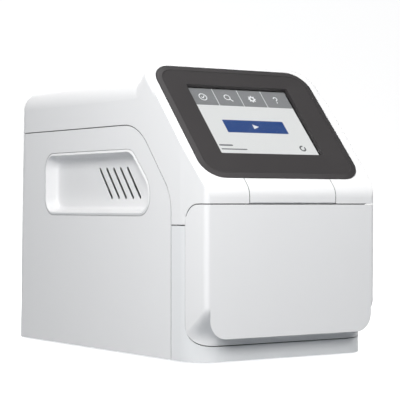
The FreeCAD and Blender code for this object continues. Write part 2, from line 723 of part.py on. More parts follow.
def make_side_panel():
    """Left side panel: flat wall, rounded rear corner, dished grip and vent slots."""
    left = block(-HOUSING_WIDTH, -(HALF_WIDTH - REAR_CORNER_RADIUS) - HALF_SEAM,
                 SIDE_SEAM_Y + HALF_SEAM, REAR_Y + FAR, BASE_CLEARANCE, SIDE_SEAM_HEIGHT)
    panel = SKIN.common(left).cut(cover_zone(HALF_SEAM))
    panel = make_grip(fuse_all([panel, seam_lap()]))
    return panel.cut(fuse_all(vent_slots()))


def foot_places():
    """Middle of each foot."""
    x = HALF_WIDTH - FOOT_INSET_X
    return [Vector(sx * x, y, 0) for sx in (-1, 1)
            for y in (FRONT_Y + FOOT_INSET_Y, REAR_Y - FOOT_INSET_Y)]


def make_base_tray():
    """Floor with the front sill and the two pillars beside the drawer."""
    front = block(-HOUSING_WIDTH, HOUSING_WIDTH, NOSE_Y - FAR, SIDE_SEAM_Y - HALF_SEAM,
                  BASE_CLEARANCE, PILLAR_SEAM_HEIGHT - HALF_SEAM)
    shell = OUTSIDE.cut(envelope(WALL, FLOOR_TOP)).common(front)
    shell = shell.cut(drawer_zone(HALF_SEAM))
    slab = block(-HALF_WIDTH, HALF_WIDTH, FRONT_Y, REAR_Y, BASE_CLEARANCE, FLOOR_TOP)
    plate = INSIDE.common(slab).common(OUTSIDE)
    tray = fuse_all([shell, plate])
    for place in foot_places():
        tray = tray.cut(rod(Vector(place.x, place.y, 0), Vector(0, 0, 1), FOOT_STUD_RADIUS, FLOOR_TOP))
        ring = rod(Vector(place.x, place.y, FLOOR_TOP), Vector(0, 0, 1), FOOT_RADIUS, CHASSIS_GAP)
        bore = rod(Vector(place.x, place.y, FLOOR_TOP), Vector(0, 0, 1), FOOT_STUD_RADIUS, CHASSIS_GAP)
        tray = tray.fuse(ring.cut(bore))
    return tray.removeSplitter()


def make_feet():
    """Rubber feet whose studs plug into the floor."""
    feet = []
    for place in foot_places():
        pad = rod(place, Vector(0, 0, 1), FOOT_RADIUS, BASE_CLEARANCE)
        stud = rod(place, Vector(0, 0, 1), FOOT_STUD_RADIUS, FLOOR_TOP)
        feet.append(pad.fuse(stud).removeSplitter())
    return Part.makeCompound(feet)


def make_chassis_plate():
    """Steel plate over the floor that carries the inner units."""
    plan = base_plan(WALL + CHASSIS_SIDE_GAP, 0.0, CHASSIS_BOTTOM)
    rear = REAR_PANEL_IN - REAR_POST_DEPTH - REAR_POST_GAP
    room = block(-HALF_WIDTH, HALF_WIDTH, DRAWER_SEAM_Y + SEAM_GAP, rear, 0, CHASSIS_TOP)
    return Part.Face(plan).extrude(Vector(0, 0, CHASSIS_SHEET)).common(room)


def drawer_scoop():
    """Soft body that runs from the proud front down to the outline of the base."""
    wires = []
    for step in range(SCOOP_STEPS + 1):
        share = step / SCOOP_STEPS
        soft = share * share * (3 - 2 * share)
        height = SCOOP_TOP + (SCOOP_BOTTOM - SCOOP_TOP) * share
        crease = NOSE_CREASE_RADIUS + (FRONT_CORNER_RADIUS - NOSE_CREASE_RADIUS) * soft
        taper = NOSE_TAPER + (FLAT_TAPER - NOSE_TAPER) * soft
        wires.append(front_plan(height, DRAWER_PROUD * (1 - soft), crease, taper))
    low = front_plan(DRAWER_BOTTOM, 0.0, FRONT_CORNER_RADIUS, FLAT_TAPER)
    lip = Part.Face(low).extrude(Vector(0, 0, SCOOP_BOTTOM - DRAWER_BOTTOM))
    return Part.makeLoft(wires, True, False).fuse(lip)


def face_outline(y, shrink):
    """Front view outline of the flat face, drawn in by shrink."""
    half = HALF_WIDTH - NOSE_TAPER - NOSE_CREASE_RADIUS - shrink
    low = FACE_BOTTOM + shrink
    corners = [(-half, DRAWER_TOP + FAR, 0), (-half, low, FACE_CORNER_RADIUS),
               (half, low, FACE_CORNER_RADIUS), (half, DRAWER_TOP + FAR, 0)]
    return rounded_wire(corners, lambda p: Vector(p.x, y, p.y))


def make_drawer_front():
    """Proud flat face with rounded lower corners over a lip that is flush with the base."""
    plate = Part.makeLoft([face_outline(NOSE_Y, 0.0), face_outline(NOSE_Y + FACE_UNDERCUT, FACE_UNDERCUT)],
                          True, True)
    plate = plate.common(block(-HALF_WIDTH, HALF_WIDTH, NOSE_Y, FRONT_Y, DRAWER_BOTTOM, SCOOP_TOP))
    upper = nose_block(0.0, SCOOP_TOP, DRAWER_TOP)
    outer = fuse_all([upper, drawer_scoop(), plate]).common(drawer_zone(-HALF_SEAM))
    room_side = HALF_WIDTH - NOSE_TAPER - FACE_WALL
    room_top = DRAWER_TOP - HALF_SEAM - FACE_WALL
    room = block(-room_side, room_side, NOSE_Y + FACE_WALL, SIDE_SEAM_Y, SCOOP_TOP, room_top)
    low_side = HALF_WIDTH - FRONT_CORNER_RADIUS
    low_room = block(-low_side, low_side, FRONT_Y + FACE_WALL, SIDE_SEAM_Y, DRAWER_BOTTOM + FACE_WALL,
                     SCOOP_TOP)
    return outer.cut(room.fuse(low_room)).removeSplitter()


def make_drawer_tray():
    """Tray plate with the disc well, side skirts and a front flange behind the drawer face."""
    side = TRAY_SIDE
    top = block(-side, side, TRAY_FRONT_Y, TRAY_REAR_Y, TRAY_TOP - TRAY_SHEET, TRAY_TOP)
    skirt = block(-side, -side + TRAY_SHEET, TRAY_FRONT_Y, TRAY_REAR_Y, TRAY_SKIRT_BOTTOM, TRAY_TOP)
    flange = block(-side, side, TRAY_FRONT_Y, TRAY_FRONT_Y + TRAY_SHEET, TRAY_FLANGE_BOTTOM,
                   TRAY_FLANGE_TOP)
    up = Vector(0, 0, 1)
    well = rod(Vector(0, WELL_Y, WELL_FLOOR - TRAY_SHEET), up, WELL_RADIUS + TRAY_SHEET,
               WELL_DEPTH + TRAY_SHEET)
    tray = fuse_all([top, skirt, mirrored(skirt), flange, well])
    tray = tray.cut(rod(Vector(0, WELL_Y, WELL_FLOOR), up, WELL_RADIUS, WELL_DEPTH + FAR))
    shaft = rod(Vector(0, WELL_Y, 0), up, SPINDLE_SHAFT_RADIUS + 1, TRAY_TOP)
    return tray.cut(shaft)


def make_rail():
    """Sliding rail on the left side of the tray."""
    low = RAIL_MIDDLE_HEIGHT - RAIL_HEIGHT / 2
    return block(-TRAY_SIDE - RAIL_THICKNESS, -TRAY_SIDE, DRAWER_SEAM_Y + SEAM_GAP, TRAY_REAR_Y,
                 low, low + RAIL_HEIGHT)


def make_guide():
    """Fixed channel round the left rail."""
    low = RAIL_MIDDLE_HEIGHT - RAIL_HEIGHT / 2 - RAIL_CLEARANCE
    high = RAIL_MIDDLE_HEIGHT + RAIL_HEIGHT / 2 + RAIL_CLEARANCE
    front = FRONT_Y + GUIDE_FRONT
    rear = TRAY_REAR_Y
    channel = block(-GUIDE_OUT, -TRAY_SIDE - RAIL_CLEARANCE, front, rear, low - GUIDE_SHEET,
                    high + GUIDE_SHEET)
    return channel.cut(block(-GUIDE_IN, 0, front, rear, low, high))


def make_guide_bracket():
    """Upright on the chassis that carries the left channel and the optics deck."""
    front = FRONT_Y + GUIDE_FRONT
    rear = TRAY_REAR_Y
    outer = -GUIDE_OUT - BRACKET_SHEET
    wall = block(outer, -GUIDE_OUT, front, rear, CHASSIS_TOP, DECK_BOTTOM)
    foot = block(outer, outer + BRACKET_FOOT, front, rear, CHASSIS_TOP, CHASSIS_TOP + BRACKET_SHEET)
    head = block(outer, outer + BRACKET_FOOT, front, rear, DECK_BOTTOM - BRACKET_SHEET, DECK_BOTTOM)
    return fuse_all([wall, foot, head])


def make_rack():
    """Toothed rack on the tray's right skirt, teeth down."""
    x1 = TRAY_SIDE - TRAY_SHEET
    x0 = x1 - RACK_WIDTH
    tip = RACK_PITCH_HEIGHT - TOOTH_TIP * TOOTH_MODULE
    root = RACK_PITCH_HEIGHT + TOOTH_ROOT * TOOTH_MODULE
    top = root + RACK_BODY
    lean = math.tan(math.radians(PRESSURE_ANGLE))
    half_pitch = TOOTH_PITCH / 4 - TOOTH_BACKLASH
    half_tip = half_pitch - (RACK_PITCH_HEIGHT - tip) * lean
    half_root = half_pitch + (root - RACK_PITCH_HEIGHT) * lean
    first = math.ceil((TRAY_FRONT_Y + TRAY_SHEET + half_root - PINION_Y) / TOOTH_PITCH)
    last = math.floor((TRAY_REAR_Y - half_root - PINION_Y) / TOOTH_PITCH)
    points = [Vector(x0, TRAY_REAR_Y, root), Vector(x0, TRAY_REAR_Y, top),
              Vector(x0, TRAY_FRONT_Y + TRAY_SHEET, top), Vector(x0, TRAY_FRONT_Y + TRAY_SHEET, root)]
    for index in range(first, last + 1):
        y = PINION_Y + index * TOOTH_PITCH
        points.append(Vector(x0, y - half_root, root))
        points.append(Vector(x0, y - half_tip, tip))
        points.append(Vector(x0, y + half_tip, tip))
        points.append(Vector(x0, y + half_root, root))
    points.append(points[0])
    return Part.Face(Part.makePolygon(points)).extrude(Vector(x1 - x0, 0, 0))


def pinion_outline(x):
    """Closed wire of the pinion in the plane x, with a tooth gap straight up."""
    base = PITCH_RADIUS * math.cos(math.radians(PRESSURE_ANGLE))
    tip = PITCH_RADIUS + TOOTH_TIP * TOOTH_MODULE
    root = PITCH_RADIUS - TOOTH_ROOT * TOOTH_MODULE
    pitch_roll = math.sqrt((PITCH_RADIUS / base) ** 2 - 1)
    half_tooth = (TOOTH_PITCH / 4 - TOOTH_BACKLASH) / PITCH_RADIUS + pitch_roll - math.atan(pitch_roll)
    rolls = [math.sqrt((tip / base) ** 2 - 1) * step / 4 for step in range(5)]
    flank = [(base * math.hypot(1, roll), half_tooth - (roll - math.atan(roll))) for roll in rolls]
    flank.insert(0, (root, half_tooth))
    points = []
    for index in range(PINION_TEETH):
        middle = math.pi / 2 + (index + 0.5) * 2 * math.pi / PINION_TEETH
        tooth = [(radius, middle - turn) for radius, turn in flank]
        tooth += [(radius, middle + turn) for radius, turn in reversed(flank)]
        for radius, angle in tooth:
            points.append(Vector(x, PINION_Y + radius * math.cos(angle), PINION_Z + radius * math.sin(angle)))
    points.append(points[0])
    return Part.makePolygon(points)


RACK_MIDDLE_X = TRAY_SIDE - TRAY_SHEET - RACK_WIDTH / 2
PINION_X = RACK_MIDDLE_X - PINION_WIDTH / 2
MOTOR_FACE_X = PINION_X - BRACKET_SHEET - MOTOR_FACE_GAP


def make_pinion():
    """Pinion with its shaft into the gear motor."""
    gear = Part.Face(pinion_outline(PINION_X)).extrude(Vector(PINION_WIDTH, 0, 0))
    start = Vector(MOTOR_FACE_X - DRIVE_MOTOR_LENGTH / 2, PINION_Y, PINION_Z)
    shaft = rod(start, Vector(1, 0, 0), PINION_SHAFT_RADIUS, PINION_X + PINION_WIDTH - start.x)
    return gear.fuse(shaft).removeSplitter()


def make_drive_motor():
    """Gear motor beside the pinion."""
    start = Vector(MOTOR_FACE_X - DRIVE_MOTOR_LENGTH, PINION_Y, PINION_Z)
    can = rod(start, Vector(1, 0, 0), DRIVE_MOTOR_RADIUS, DRIVE_MOTOR_LENGTH)
    bore_start = Vector(MOTOR_FACE_X - DRIVE_MOTOR_LENGTH / 2 - SHAFT_END_GAP, PINION_Y, PINION_Z)
    return can.cut(rod(bore_start, Vector(1, 0, 0), PINION_SHAFT_RADIUS + SHAFT_CLEARANCE,
                       DRIVE_MOTOR_LENGTH))


def make_motor_bracket():
    """Bent plate from the chassis to the gear motor's face."""
    half = DRIVE_MOTOR_RADIUS
    wall = block(MOTOR_FACE_X, MOTOR_FACE_X + BRACKET_SHEET, PINION_Y - half, PINION_Y + half,
                 CHASSIS_TOP, PINION_Z + PITCH_RADIUS / 2)
    foot = block(MOTOR_FACE_X - BRACKET_FOOT, MOTOR_FACE_X + BRACKET_SHEET, PINION_Y - half,
                 PINION_Y + half, CHASSIS_TOP, CHASSIS_TOP + BRACKET_SHEET)
    hole = rod(Vector(MOTOR_FACE_X, PINION_Y, PINION_Z), Vector(1, 0, 0),
               PINION_SHAFT_RADIUS + MOTOR_FACE_GAP, BRACKET_SHEET)
    return fuse_all([wall, foot]).cut(hole)


def make_spindle_motor():
    """Flat motor under the disc well."""
    top = WELL_FLOOR - TRAY_SHEET
    can = rod(Vector(0, WELL_Y, top - SPINDLE_MOTOR_LENGTH), Vector(0, 0, 1), SPINDLE_MOTOR_RADIUS,
              SPINDLE_MOTOR_LENGTH)
    bore = rod(Vector(0, WELL_Y, top - SPINDLE_MOTOR_LENGTH / 2), Vector(0, 0, 1),
               SPINDLE_SHAFT_RADIUS + SHAFT_CLEARANCE, SPINDLE_MOTOR_LENGTH)
    return can.cut(bore)


def make_turntable():
    """Turntable with a centring hub, drive pins and its shaft."""
    up = Vector(0, 0, 1)
    low = WELL_FLOOR + TURNTABLE_LIFT
    shaft_low = WELL_FLOOR - TRAY_SHEET - SPINDLE_MOTOR_LENGTH / 2 + 0.5
    plate = rod(Vector(0, WELL_Y, low), up, TURNTABLE_RADIUS, TURNTABLE_THICKNESS)
    shaft = rod(Vector(0, WELL_Y, shaft_low), up, SPINDLE_SHAFT_RADIUS, low - shaft_low)
    top = low + TURNTABLE_THICKNESS
    hub = rod(Vector(0, WELL_Y, top), up, TURNTABLE_HUB_RADIUS, TURNTABLE_HUB_HEIGHT)
    pieces = [plate, shaft, hub]
    for index in range(DRIVE_PIN_COUNT):
        angle = 2 * math.pi * index / DRIVE_PIN_COUNT
        x = DRIVE_PIN_CIRCLE * math.cos(angle)
        y = WELL_Y + DRIVE_PIN_CIRCLE * math.sin(angle)
        pieces.append(rod(Vector(x, y, top), up, DRIVE_PIN_RADIUS, DRIVE_PIN_HEIGHT))
    return fuse_all(pieces)


LAMP_Y = FRONT_Y + LAMP_SETBACK
LENS_Z = DECK_TOP + LAMP_HEIGHT / 2
LENS_END_Y = LAMP_Y - LENS_LENGTH
READ_Y = LENS_END_Y - DETECTOR_DEPTH / 2


def light_path():
    """Upright beam from the detector block down to the cells of the disc."""
    return rod(Vector(0, READ_Y, 0), Vector(0, 0, 1), LENS_BORE_RADIUS, LENS_Z)


def make_optics_deck():
    """Plate across the two brackets that holds the measuring unit."""
    side = GUIDE_OUT + BRACKET_SHEET
    deck = block(-side, side, FRONT_Y + GUIDE_FRONT, TRAY_REAR_Y, DECK_BOTTOM, DECK_TOP)
    return deck.cut(light_path())


def make_heated_lid():
    """Warm plate hung under the deck, just over the disc."""
    corners = [(-LID_WIDTH / 2, WELL_Y - LID_DEPTH / 2, 6), (LID_WIDTH / 2, WELL_Y - LID_DEPTH / 2, 6),
               (LID_WIDTH / 2, WELL_Y + LID_DEPTH / 2, 6), (-LID_WIDTH / 2, WELL_Y + LID_DEPTH / 2, 6)]
    lid = Part.Face(plan_wire(corners, DECK_BOTTOM - LID_THICKNESS)).extrude(Vector(0, 0, LID_THICKNESS))
    lid = lid.common(block(-LID_WIDTH, LID_WIDTH, FRONT_Y + GUIDE_FRONT, REAR_Y, 0, DECK_TOP))
    return lid.cut(light_path())


def make_lamp_housing():
    """Lamp box with a window for the lens tube."""
    box = block(-LAMP_WIDTH / 2, LAMP_WIDTH / 2, LAMP_Y, LAMP_Y + LAMP_DEPTH, DECK_TOP,
                DECK_TOP + LAMP_HEIGHT)
    return box.cut(rod(Vector(0, LAMP_Y - 1, LENS_Z), Vector(0, 1, 0), LENS_BORE_RADIUS, LAMP_DEPTH / 2))


def make_lens_tube():
    """Barrel that carries the light from the lamp to the disc."""
    barrel = rod(Vector(0, LENS_END_Y, LENS_Z), Vector(0, 1, 0), LENS_RADIUS, LENS_LENGTH)
    return barrel.cut(rod(Vector(0, LENS_END_Y, LENS_Z), Vector(0, 1, 0), LENS_BORE_RADIUS, LENS_LENGTH))


def make_detector_block():
    """Mirror and detector block at the end of the lens tube."""
    half = DETECTOR_WIDTH / 2
    box = block(-half, half, LENS_END_Y - DETECTOR_DEPTH, LENS_END_Y, DECK_TOP,
                LENS_Z + LENS_RADIUS + DETECTOR_OVER_LENS)
    across = rod(Vector(0, READ_Y, LENS_Z), Vector(0, 1, 0), LENS_BORE_RADIUS, DETECTOR_DEPTH)
    return box.cut(light_path()).cut(across)


def bezel_outline(inset, level):
    """Outline of the bezel, drawn in by inset."""
    return screen_outline(HALF_WIDTH - BEZEL_SIDE_MARGIN - inset, BEZEL_BOTTOM + inset, BEZEL_TOP - inset,
                          BEZEL_CORNER_RADIUS - inset, level)


def window_outline(grow, level):
    """Outline of the window over the glass."""
    half_h = WINDOW_HEIGHT / 2 + grow
    return screen_outline(WINDOW_WIDTH / 2 + grow, -half_h, half_h, WINDOW_CORNER_RADIUS, level)


def make_screen_bezel():
    """Dark bezel: a rim that rises inward, a small step, a dished face and a seat for the glass."""
    crest = POD_OVER_SCREEN + BEZEL_RIM_RISE
    seat = POD_OVER_SCREEN - BEZEL_SEAT_DEPTH
    foot = Part.Face(bezel_outline(0.0, seat)).extrude(Vector(0, 0, BEZEL_SEAT_DEPTH))
    rim_top = bezel_outline(BEZEL_RIM_WIDTH, crest)
    rim = Part.makeLoft([bezel_outline(0.0, POD_OVER_SCREEN), rim_top], True, True)
    neck = screen_neck(BEZEL_GAP, -BEZEL_UNDER_SCREEN, seat)
    neck.Placement = FreeCAD.Placement()
    bezel = fuse_all([foot, rim, neck])
    step = bezel_outline(BEZEL_RIM_WIDTH + BEZEL_STEP_WIDTH, crest - BEZEL_STEP)
    dish = Part.makeLoft([window_outline(WINDOW_FLARE, WINDOW_DEPTH), step], True, True)
    above = Part.Face(step).extrude(Vector(0, 0, FAR))
    window = Part.makeLoft([window_outline(0.0, 0), window_outline(WINDOW_FLARE, WINDOW_DEPTH)], True, True)
    glass_w = WINDOW_WIDTH / 2 + GLASS_BORDER
    glass_h = WINDOW_HEIGHT / 2 + GLASS_BORDER
    pocket = block(-glass_w, glass_w, -glass_h, glass_h, -BEZEL_UNDER_SCREEN, 0)
    for tool in (above, dish, window, pocket):
        bezel = bezel.cut(tool)
    bezel.Placement = SCREEN_PLACEMENT
    return bezel


def make_cover_glass():
    """Touch glass behind the window."""
    half_w = WINDOW_WIDTH / 2 + GLASS_BORDER - GLASS_GAP
    half_h = WINDOW_HEIGHT / 2 + GLASS_BORDER - GLASS_GAP
    return screen_slab(half_w, -half_h, half_h, 0, -GLASS_THICKNESS, 0)


LCD_FRONT = -GLASS_THICKNESS
LCD_BACK = LCD_FRONT - LCD_THICKNESS
BRACKET_BACK = LCD_BACK - LCD_BRACKET_SHEET
COVER_INSIDE = POD_OVER_SCREEN - WALL


def make_lcd_panel():
    """Display module bonded behind the glass."""
    return screen_slab(LCD_WIDTH / 2, -LCD_HEIGHT / 2, LCD_HEIGHT / 2, 0, LCD_BACK, LCD_FRONT)


def make_lcd_bracket():
    """Sheet bracket behind the display, on four posts from the cover, with board bosses."""
    half_w = LCD_BRACKET_WIDTH / 2
    half_h = LCD_BRACKET_HEIGHT / 2
    pieces = [screen_slab(half_w, -half_h, half_h, LCD_BRACKET_CORNER_RADIUS, BRACKET_BACK, LCD_BACK)]
    board_w = DISPLAY_BOARD_WIDTH / 2 - BOARD_STANDOFF_INSET
    board_h = DISPLAY_BOARD_HEIGHT / 2 - BOARD_STANDOFF_INSET
    for su in (-1, 1):
        for sv in (-1, 1):
            pieces.append(screen_rod(su * (half_w - LCD_POST_INSET), sv * (half_h - LCD_POST_INSET),
                                     LCD_POST_RADIUS, LCD_BACK, COVER_INSIDE))
            pieces.append(screen_rod(su * board_w, sv * board_h, BOARD_STANDOFF_RADIUS,
                                     BRACKET_BACK - BOARD_STANDOFF, BRACKET_BACK))
    return fuse_all(pieces)


def make_display_board():
    """Driver board behind the bracket."""
    top = BRACKET_BACK - BOARD_STANDOFF
    return screen_slab(DISPLAY_BOARD_WIDTH / 2, -DISPLAY_BOARD_HEIGHT / 2, DISPLAY_BOARD_HEIGHT / 2, 0,
                       top - BOARD_THICKNESS, top)


def make_front_flap():
    """Flap cut from the front skin, with a knuckle along its lower edge."""
    zone = flap_opening(0.0)
    skin = SKIN.common(zone).cut(block(-HALF_WIDTH, HALF_WIDTH, NOSE_Y - 1, FRONT_Y + FAR, 0, HINGE_Z))
    half = FLAP_WIDTH / 2
    knuckle = rod(Vector(-half, HINGE_Y, HINGE_Z), Vector(1, 0, 0), FLAP_KNUCKLE_RADIUS, FLAP_WIDTH)
    flap = fuse_all([skin, knuckle])
    bore = rod(Vector(-half, HINGE_Y, HINGE_Z), Vector(1, 0, 0), FLAP_PIN_RADIUS + SHAFT_CLEARANCE,
               FLAP_PIN_DEPTH + SHAFT_END_GAP)
    return flap.cut(bore).cut(mirrored(bore))


def make_flap_pins():
    """Two short hinge pins pressed into the cover."""
    start = FLAP_WIDTH / 2 - FLAP_PIN_DEPTH
    end = FLAP_WIDTH / 2 + FLAP_GAP + FLAP_PIN_LENGTH - FLAP_PIN_DEPTH / 2
    pin = rod(Vector(start, HINGE_Y, HINGE_Z), Vector(1, 0, 0), FLAP_PIN_RADIUS, end - start)
    return Part.makeCompound([pin, mirrored(pin)])


PORT_FRONT_Y = NOSE_Y + WALL + PORT_WALL_GAP
PORT_SHELF_TOP = DRAWER_TOP + HALF_SEAM + 2 * BOARD_THICKNESS


def make_port_board():
    """Board behind the flap, on two ledges that reach out to the cover's walls."""
    half = PORT_SHELF_WIDTH / 2
    low = PORT_SHELF_TOP - BOARD_THICKNESS
    return block(-half, half, PORT_FRONT_Y + PORT_SETBACK, PORT_FRONT_Y + PORT_SHELF_DEPTH, low,
                 PORT_SHELF_TOP)


def make_port_ledge():
    """Shelf under the port board, fixed between the cover's side walls."""
    low = DRAWER_TOP + HALF_SEAM
    high = PORT_SHELF_TOP - BOARD_THICKNESS
    front = PORT_FRONT_Y + 2 * FLAP_KNUCKLE_RADIUS
    shelf = block(-HALF_WIDTH, HALF_WIDTH, front, PORT_FRONT_Y + PORT_SHELF_DEPTH, low, high)
    return shelf.common(INSIDE)


def usb_shell(x, y_mouth, y_dir, z):
    """Metal shell of a socket, open at its mouth, with the tongue inside."""
    y_back = y_mouth + y_dir * USB_DEPTH
    y_floor = y_back - y_dir * USB_WALL
    y0 = min(y_mouth, y_back)
    y1 = max(y_mouth, y_back)
    half = USB_WIDTH / 2
    shell = block(x - half, x + half, y0, y1, z, z + USB_HEIGHT)
    hollow = block(x - half + USB_WALL, x + half - USB_WALL, min(y_mouth, y_floor), max(y_mouth, y_floor),
                   z + USB_WALL, z + USB_HEIGHT - USB_WALL)
    tongue_end = y_mouth + y_dir * USB_TONGUE_SETBACK
    top = z + USB_HEIGHT
    tongue = block(x - half + USB_TONGUE_SIDE, x + half - USB_TONGUE_SIDE, min(tongue_end, y_back),
                   max(tongue_end, y_back), top - USB_TONGUE_BOTTOM, top - USB_TONGUE_TOP)
    return shell.cut(hollow).fuse(tongue).removeSplitter()


def make_front_usb():
    """Two sockets side by side behind the flap."""
    y_mouth = PORT_FRONT_Y + PORT_SETBACK
    return Part.makeCompound([usb_shell(sign * USB_SPACING / 2 - USB_OFFSET, y_mouth, 1, PORT_SHELF_TOP)
                              for sign in (-1, 1)])


def make_card_slot():
    """Flat card reader with its slot facing the flap."""
    x0 = PORT_SHELF_WIDTH / 2 - CARD_SLOT_WIDTH - CARD_SLOT_SIDE
    x1 = x0 + CARD_SLOT_WIDTH
    y0 = PORT_FRONT_Y + PORT_SETBACK
    body = block(x0, x1, y0, y0 + CARD_SLOT_DEPTH, PORT_SHELF_TOP, PORT_SHELF_TOP + CARD_SLOT_HEIGHT)
    middle = PORT_SHELF_TOP + CARD_SLOT_HEIGHT / 2
    gap = block(x0 + PORT_SETBACK, x1 - PORT_SETBACK, y0, y0 + CARD_GAP_DEPTH, middle - CARD_GAP / 2,
                middle + CARD_GAP / 2)
    return body.cut(gap)


BOARD_PLATE_Y = TRAY_REAR_Y + BOARD_PLATE_GAP
MAIN_BOARD_Y = BOARD_PLATE_Y + BOARD_PLATE_SHEET + MAIN_STANDOFF


def make_board_plate():
    """Upright sheet on the chassis that carries the main board."""
    half = HALF_WIDTH - WALL - BOARD_PLATE_SIDE_GAP
    wall = block(-half, half, BOARD_PLATE_Y, BOARD_PLATE_Y + BOARD_PLATE_SHEET, CHASSIS_TOP, BOARD_PLATE_TOP)
    foot = block(-half, half, BOARD_PLATE_Y - BRACKET_FOOT, BOARD_PLATE_Y, CHASSIS_TOP,
                 CHASSIS_TOP + BOARD_PLATE_SHEET)
    return fuse_all([wall, foot])


def make_board_standoffs():
    """Four spacers between plate and main board."""
    spacers = []
    for sx in (-1, 1):
        for z in (MAIN_BOARD_BOTTOM + BOARD_STANDOFF_INSET,
                  MAIN_BOARD_BOTTOM + MAIN_BOARD_HEIGHT - BOARD_STANDOFF_INSET):
            x = sx * (MAIN_BOARD_WIDTH / 2 - BOARD_STANDOFF_INSET)
            start = Vector(x, BOARD_PLATE_Y + BOARD_PLATE_SHEET, z)
            spacers.append(rod(start, Vector(0, 1, 0), BOARD_STANDOFF_RADIUS, MAIN_STANDOFF))
    return Part.makeCompound(spacers)


def make_main_board():
    """Main circuit board."""
    half = MAIN_BOARD_WIDTH / 2
    return block(-half, half, MAIN_BOARD_Y, MAIN_BOARD_Y + BOARD_THICKNESS, MAIN_BOARD_BOTTOM,
                 MAIN_BOARD_BOTTOM + MAIN_BOARD_HEIGHT)


def make_board_parts():
    """Processor, memory chips and capacitors on the main board."""
    face = MAIN_BOARD_Y + BOARD_THICKNESS
    low = MAIN_BOARD_BOTTOM + PARTS_HEIGHT
    chip_z = low + CHIP_LIFT
    memory_z = low + MEMORY_LIFT
    pieces = [block(-CHIP_SIZE / 2, CHIP_SIZE / 2, face, face + CHIP_HEIGHT, chip_z, chip_z + CHIP_SIZE)]
    for index in range(MEMORY_COUNT):
        x = MEMORY_START + index * MEMORY_PITCH
        pieces.append(block(x, x + MEMORY_WIDTH, face, face + CHIP_HEIGHT, memory_z,
                            memory_z + MEMORY_LENGTH))
    for index in range(CAPACITOR_COUNT):
        x = CAPACITOR_START + index * CAPACITOR_PITCH
        pieces.append(rod(Vector(x, face, low), Vector(0, 1, 0), CAPACITOR_RADIUS, CAPACITOR_HEIGHT))
    return Part.makeCompound(pieces)


def make_power_supply():
    """Enclosed power supply on the chassis."""
    x0 = -HALF_WIDTH + WALL + SUPPLY_SIDE_GAP
    y0 = BOARD_PLATE_Y + BOARD_PLATE_SHEET + SUPPLY_FRONT_GAP
    y1 = y0 + SUPPLY_DEPTH
    top = CHASSIS_TOP + SUPPLY_HEIGHT
    case = block(x0, x0 + SUPPLY_WIDTH, y0, y1, CHASSIS_TOP, top)
    for index in range(SUPPLY_VENT_COUNT):
        x = x0 + SUPPLY_VENT_MARGIN + index * SUPPLY_VENT_PITCH
        case = case.cut(block(x, x + SUPPLY_VENT_WIDTH, y0 + SUPPLY_VENT_MARGIN, y1 - SUPPLY_VENT_MARGIN,
                              top - SUPPLY_VENT_DEPTH, top))
    return case


def make_rear_panel():
    """Flat rear panel with a fan grille and holes for inlet, switch and sockets."""
    half = HALF_WIDTH - REAR_PANEL_SIDE_INSET
    panel = block(-half, half, REAR_PANEL_IN, REAR_PANEL_OUT, FLOOR_TOP, REAR_PANEL_TOP)
    pitch = GRILLE_SLOT_WIDTH + GRILLE_BAR_WIDTH
    count = int((FAN_BORE_RADIUS - GRILLE_SLOT_WIDTH) / pitch)
    tools = []
    for index in range(-count, count + 1):
        z = FAN_Z + index * pitch
        reach = math.sqrt(FAN_BORE_RADIUS ** 2 - (index * pitch) ** 2) - GRILLE_BAR_WIDTH / 2
        tools.append(block(FAN_X - reach, FAN_X + reach, REAR_PANEL_IN - 1, REAR_PANEL_OUT + 1,
                           z - GRILLE_SLOT_WIDTH / 2, z + GRILLE_SLOT_WIDTH / 2))
    tools.append(hole_in_rear(INLET_X, INLET_Z, INLET_BODY_WIDTH, INLET_BODY_HEIGHT))
    tools.append(hole_in_rear(SWITCH_X, SWITCH_Z, SWITCH_WIDTH, SWITCH_HEIGHT))
    tools.append(hole_in_rear(NETWORK_X, NETWORK_Z, NETWORK_WIDTH, NETWORK_HEIGHT))
    tools.append(hole_in_rear(REAR_USB_X, NETWORK_Z, USB_WIDTH, USB_HEIGHT))
    for place in rear_screw_places() + fan_screw_places():
        tools.append(rod(Vector(place.x, REAR_PANEL_IN, place.z), Vector(0, 1, 0), SCREW_SHANK_RADIUS,
                         REAR_PANEL_SHEET))
    return panel.cut(Part.makeCompound(tools))


def hole_in_rear(x, z, width, height):
    """Cutting box through the rear panel round a centre, of a given width and height."""
    return block(x - width / 2, x + width / 2, REAR_PANEL_IN - 1, REAR_PANEL_OUT + 1, z - height / 2,
                 z + height / 2)


def rear_screw_places():
    """Middle of each screw that shows on the rear panel."""
    x = HALF_WIDTH - REAR_CORNER_RADIUS - SCREW_INSET
    return [Vector(sx * x, REAR_PANEL_OUT, z) for sx in (-1, 1)
            for z in (FLOOR_TOP + 2 * SCREW_INSET, SIDE_SEAM_HEIGHT - 2 * SCREW_INSET)]


def fan_screw_places():
    """Middle of each fan screw."""
    return [Vector(FAN_X + sx * FAN_CORNER_HOLE, REAR_PANEL_OUT, FAN_Z + sz * FAN_CORNER_HOLE)
            for sx in (-1, 1) for sz in (-1, 1)]


def screws_at(places, length):
    """Pan head screws with a drive recess, heads outwards."""
    made = []
    for place in places:
        head = rod(place, Vector(0, 1, 0), SCREW_HEAD_RADIUS, SCREW_HEAD_HEIGHT)
        rim = [edge for edge in head.Edges if edge.BoundBox.YMin > place.y + SCREW_HEAD_HEIGHT - 0.01]
        head = head.makeFillet(SCREW_HEAD_HEIGHT / 3, rim)
        shank = rod(place, Vector(0, -1, 0), SCREW_SHANK_RADIUS, length)
        drive = rod(Vector(place.x, place.y + SCREW_HEAD_HEIGHT - SCREW_DRIVE_DEPTH, place.z),
                    Vector(0, 1, 0), SCREW_DRIVE_RADIUS, SCREW_DRIVE_DEPTH)
        made.append(head.fuse(shank).cut(drive).removeSplitter())
    return Part.makeCompound(made)


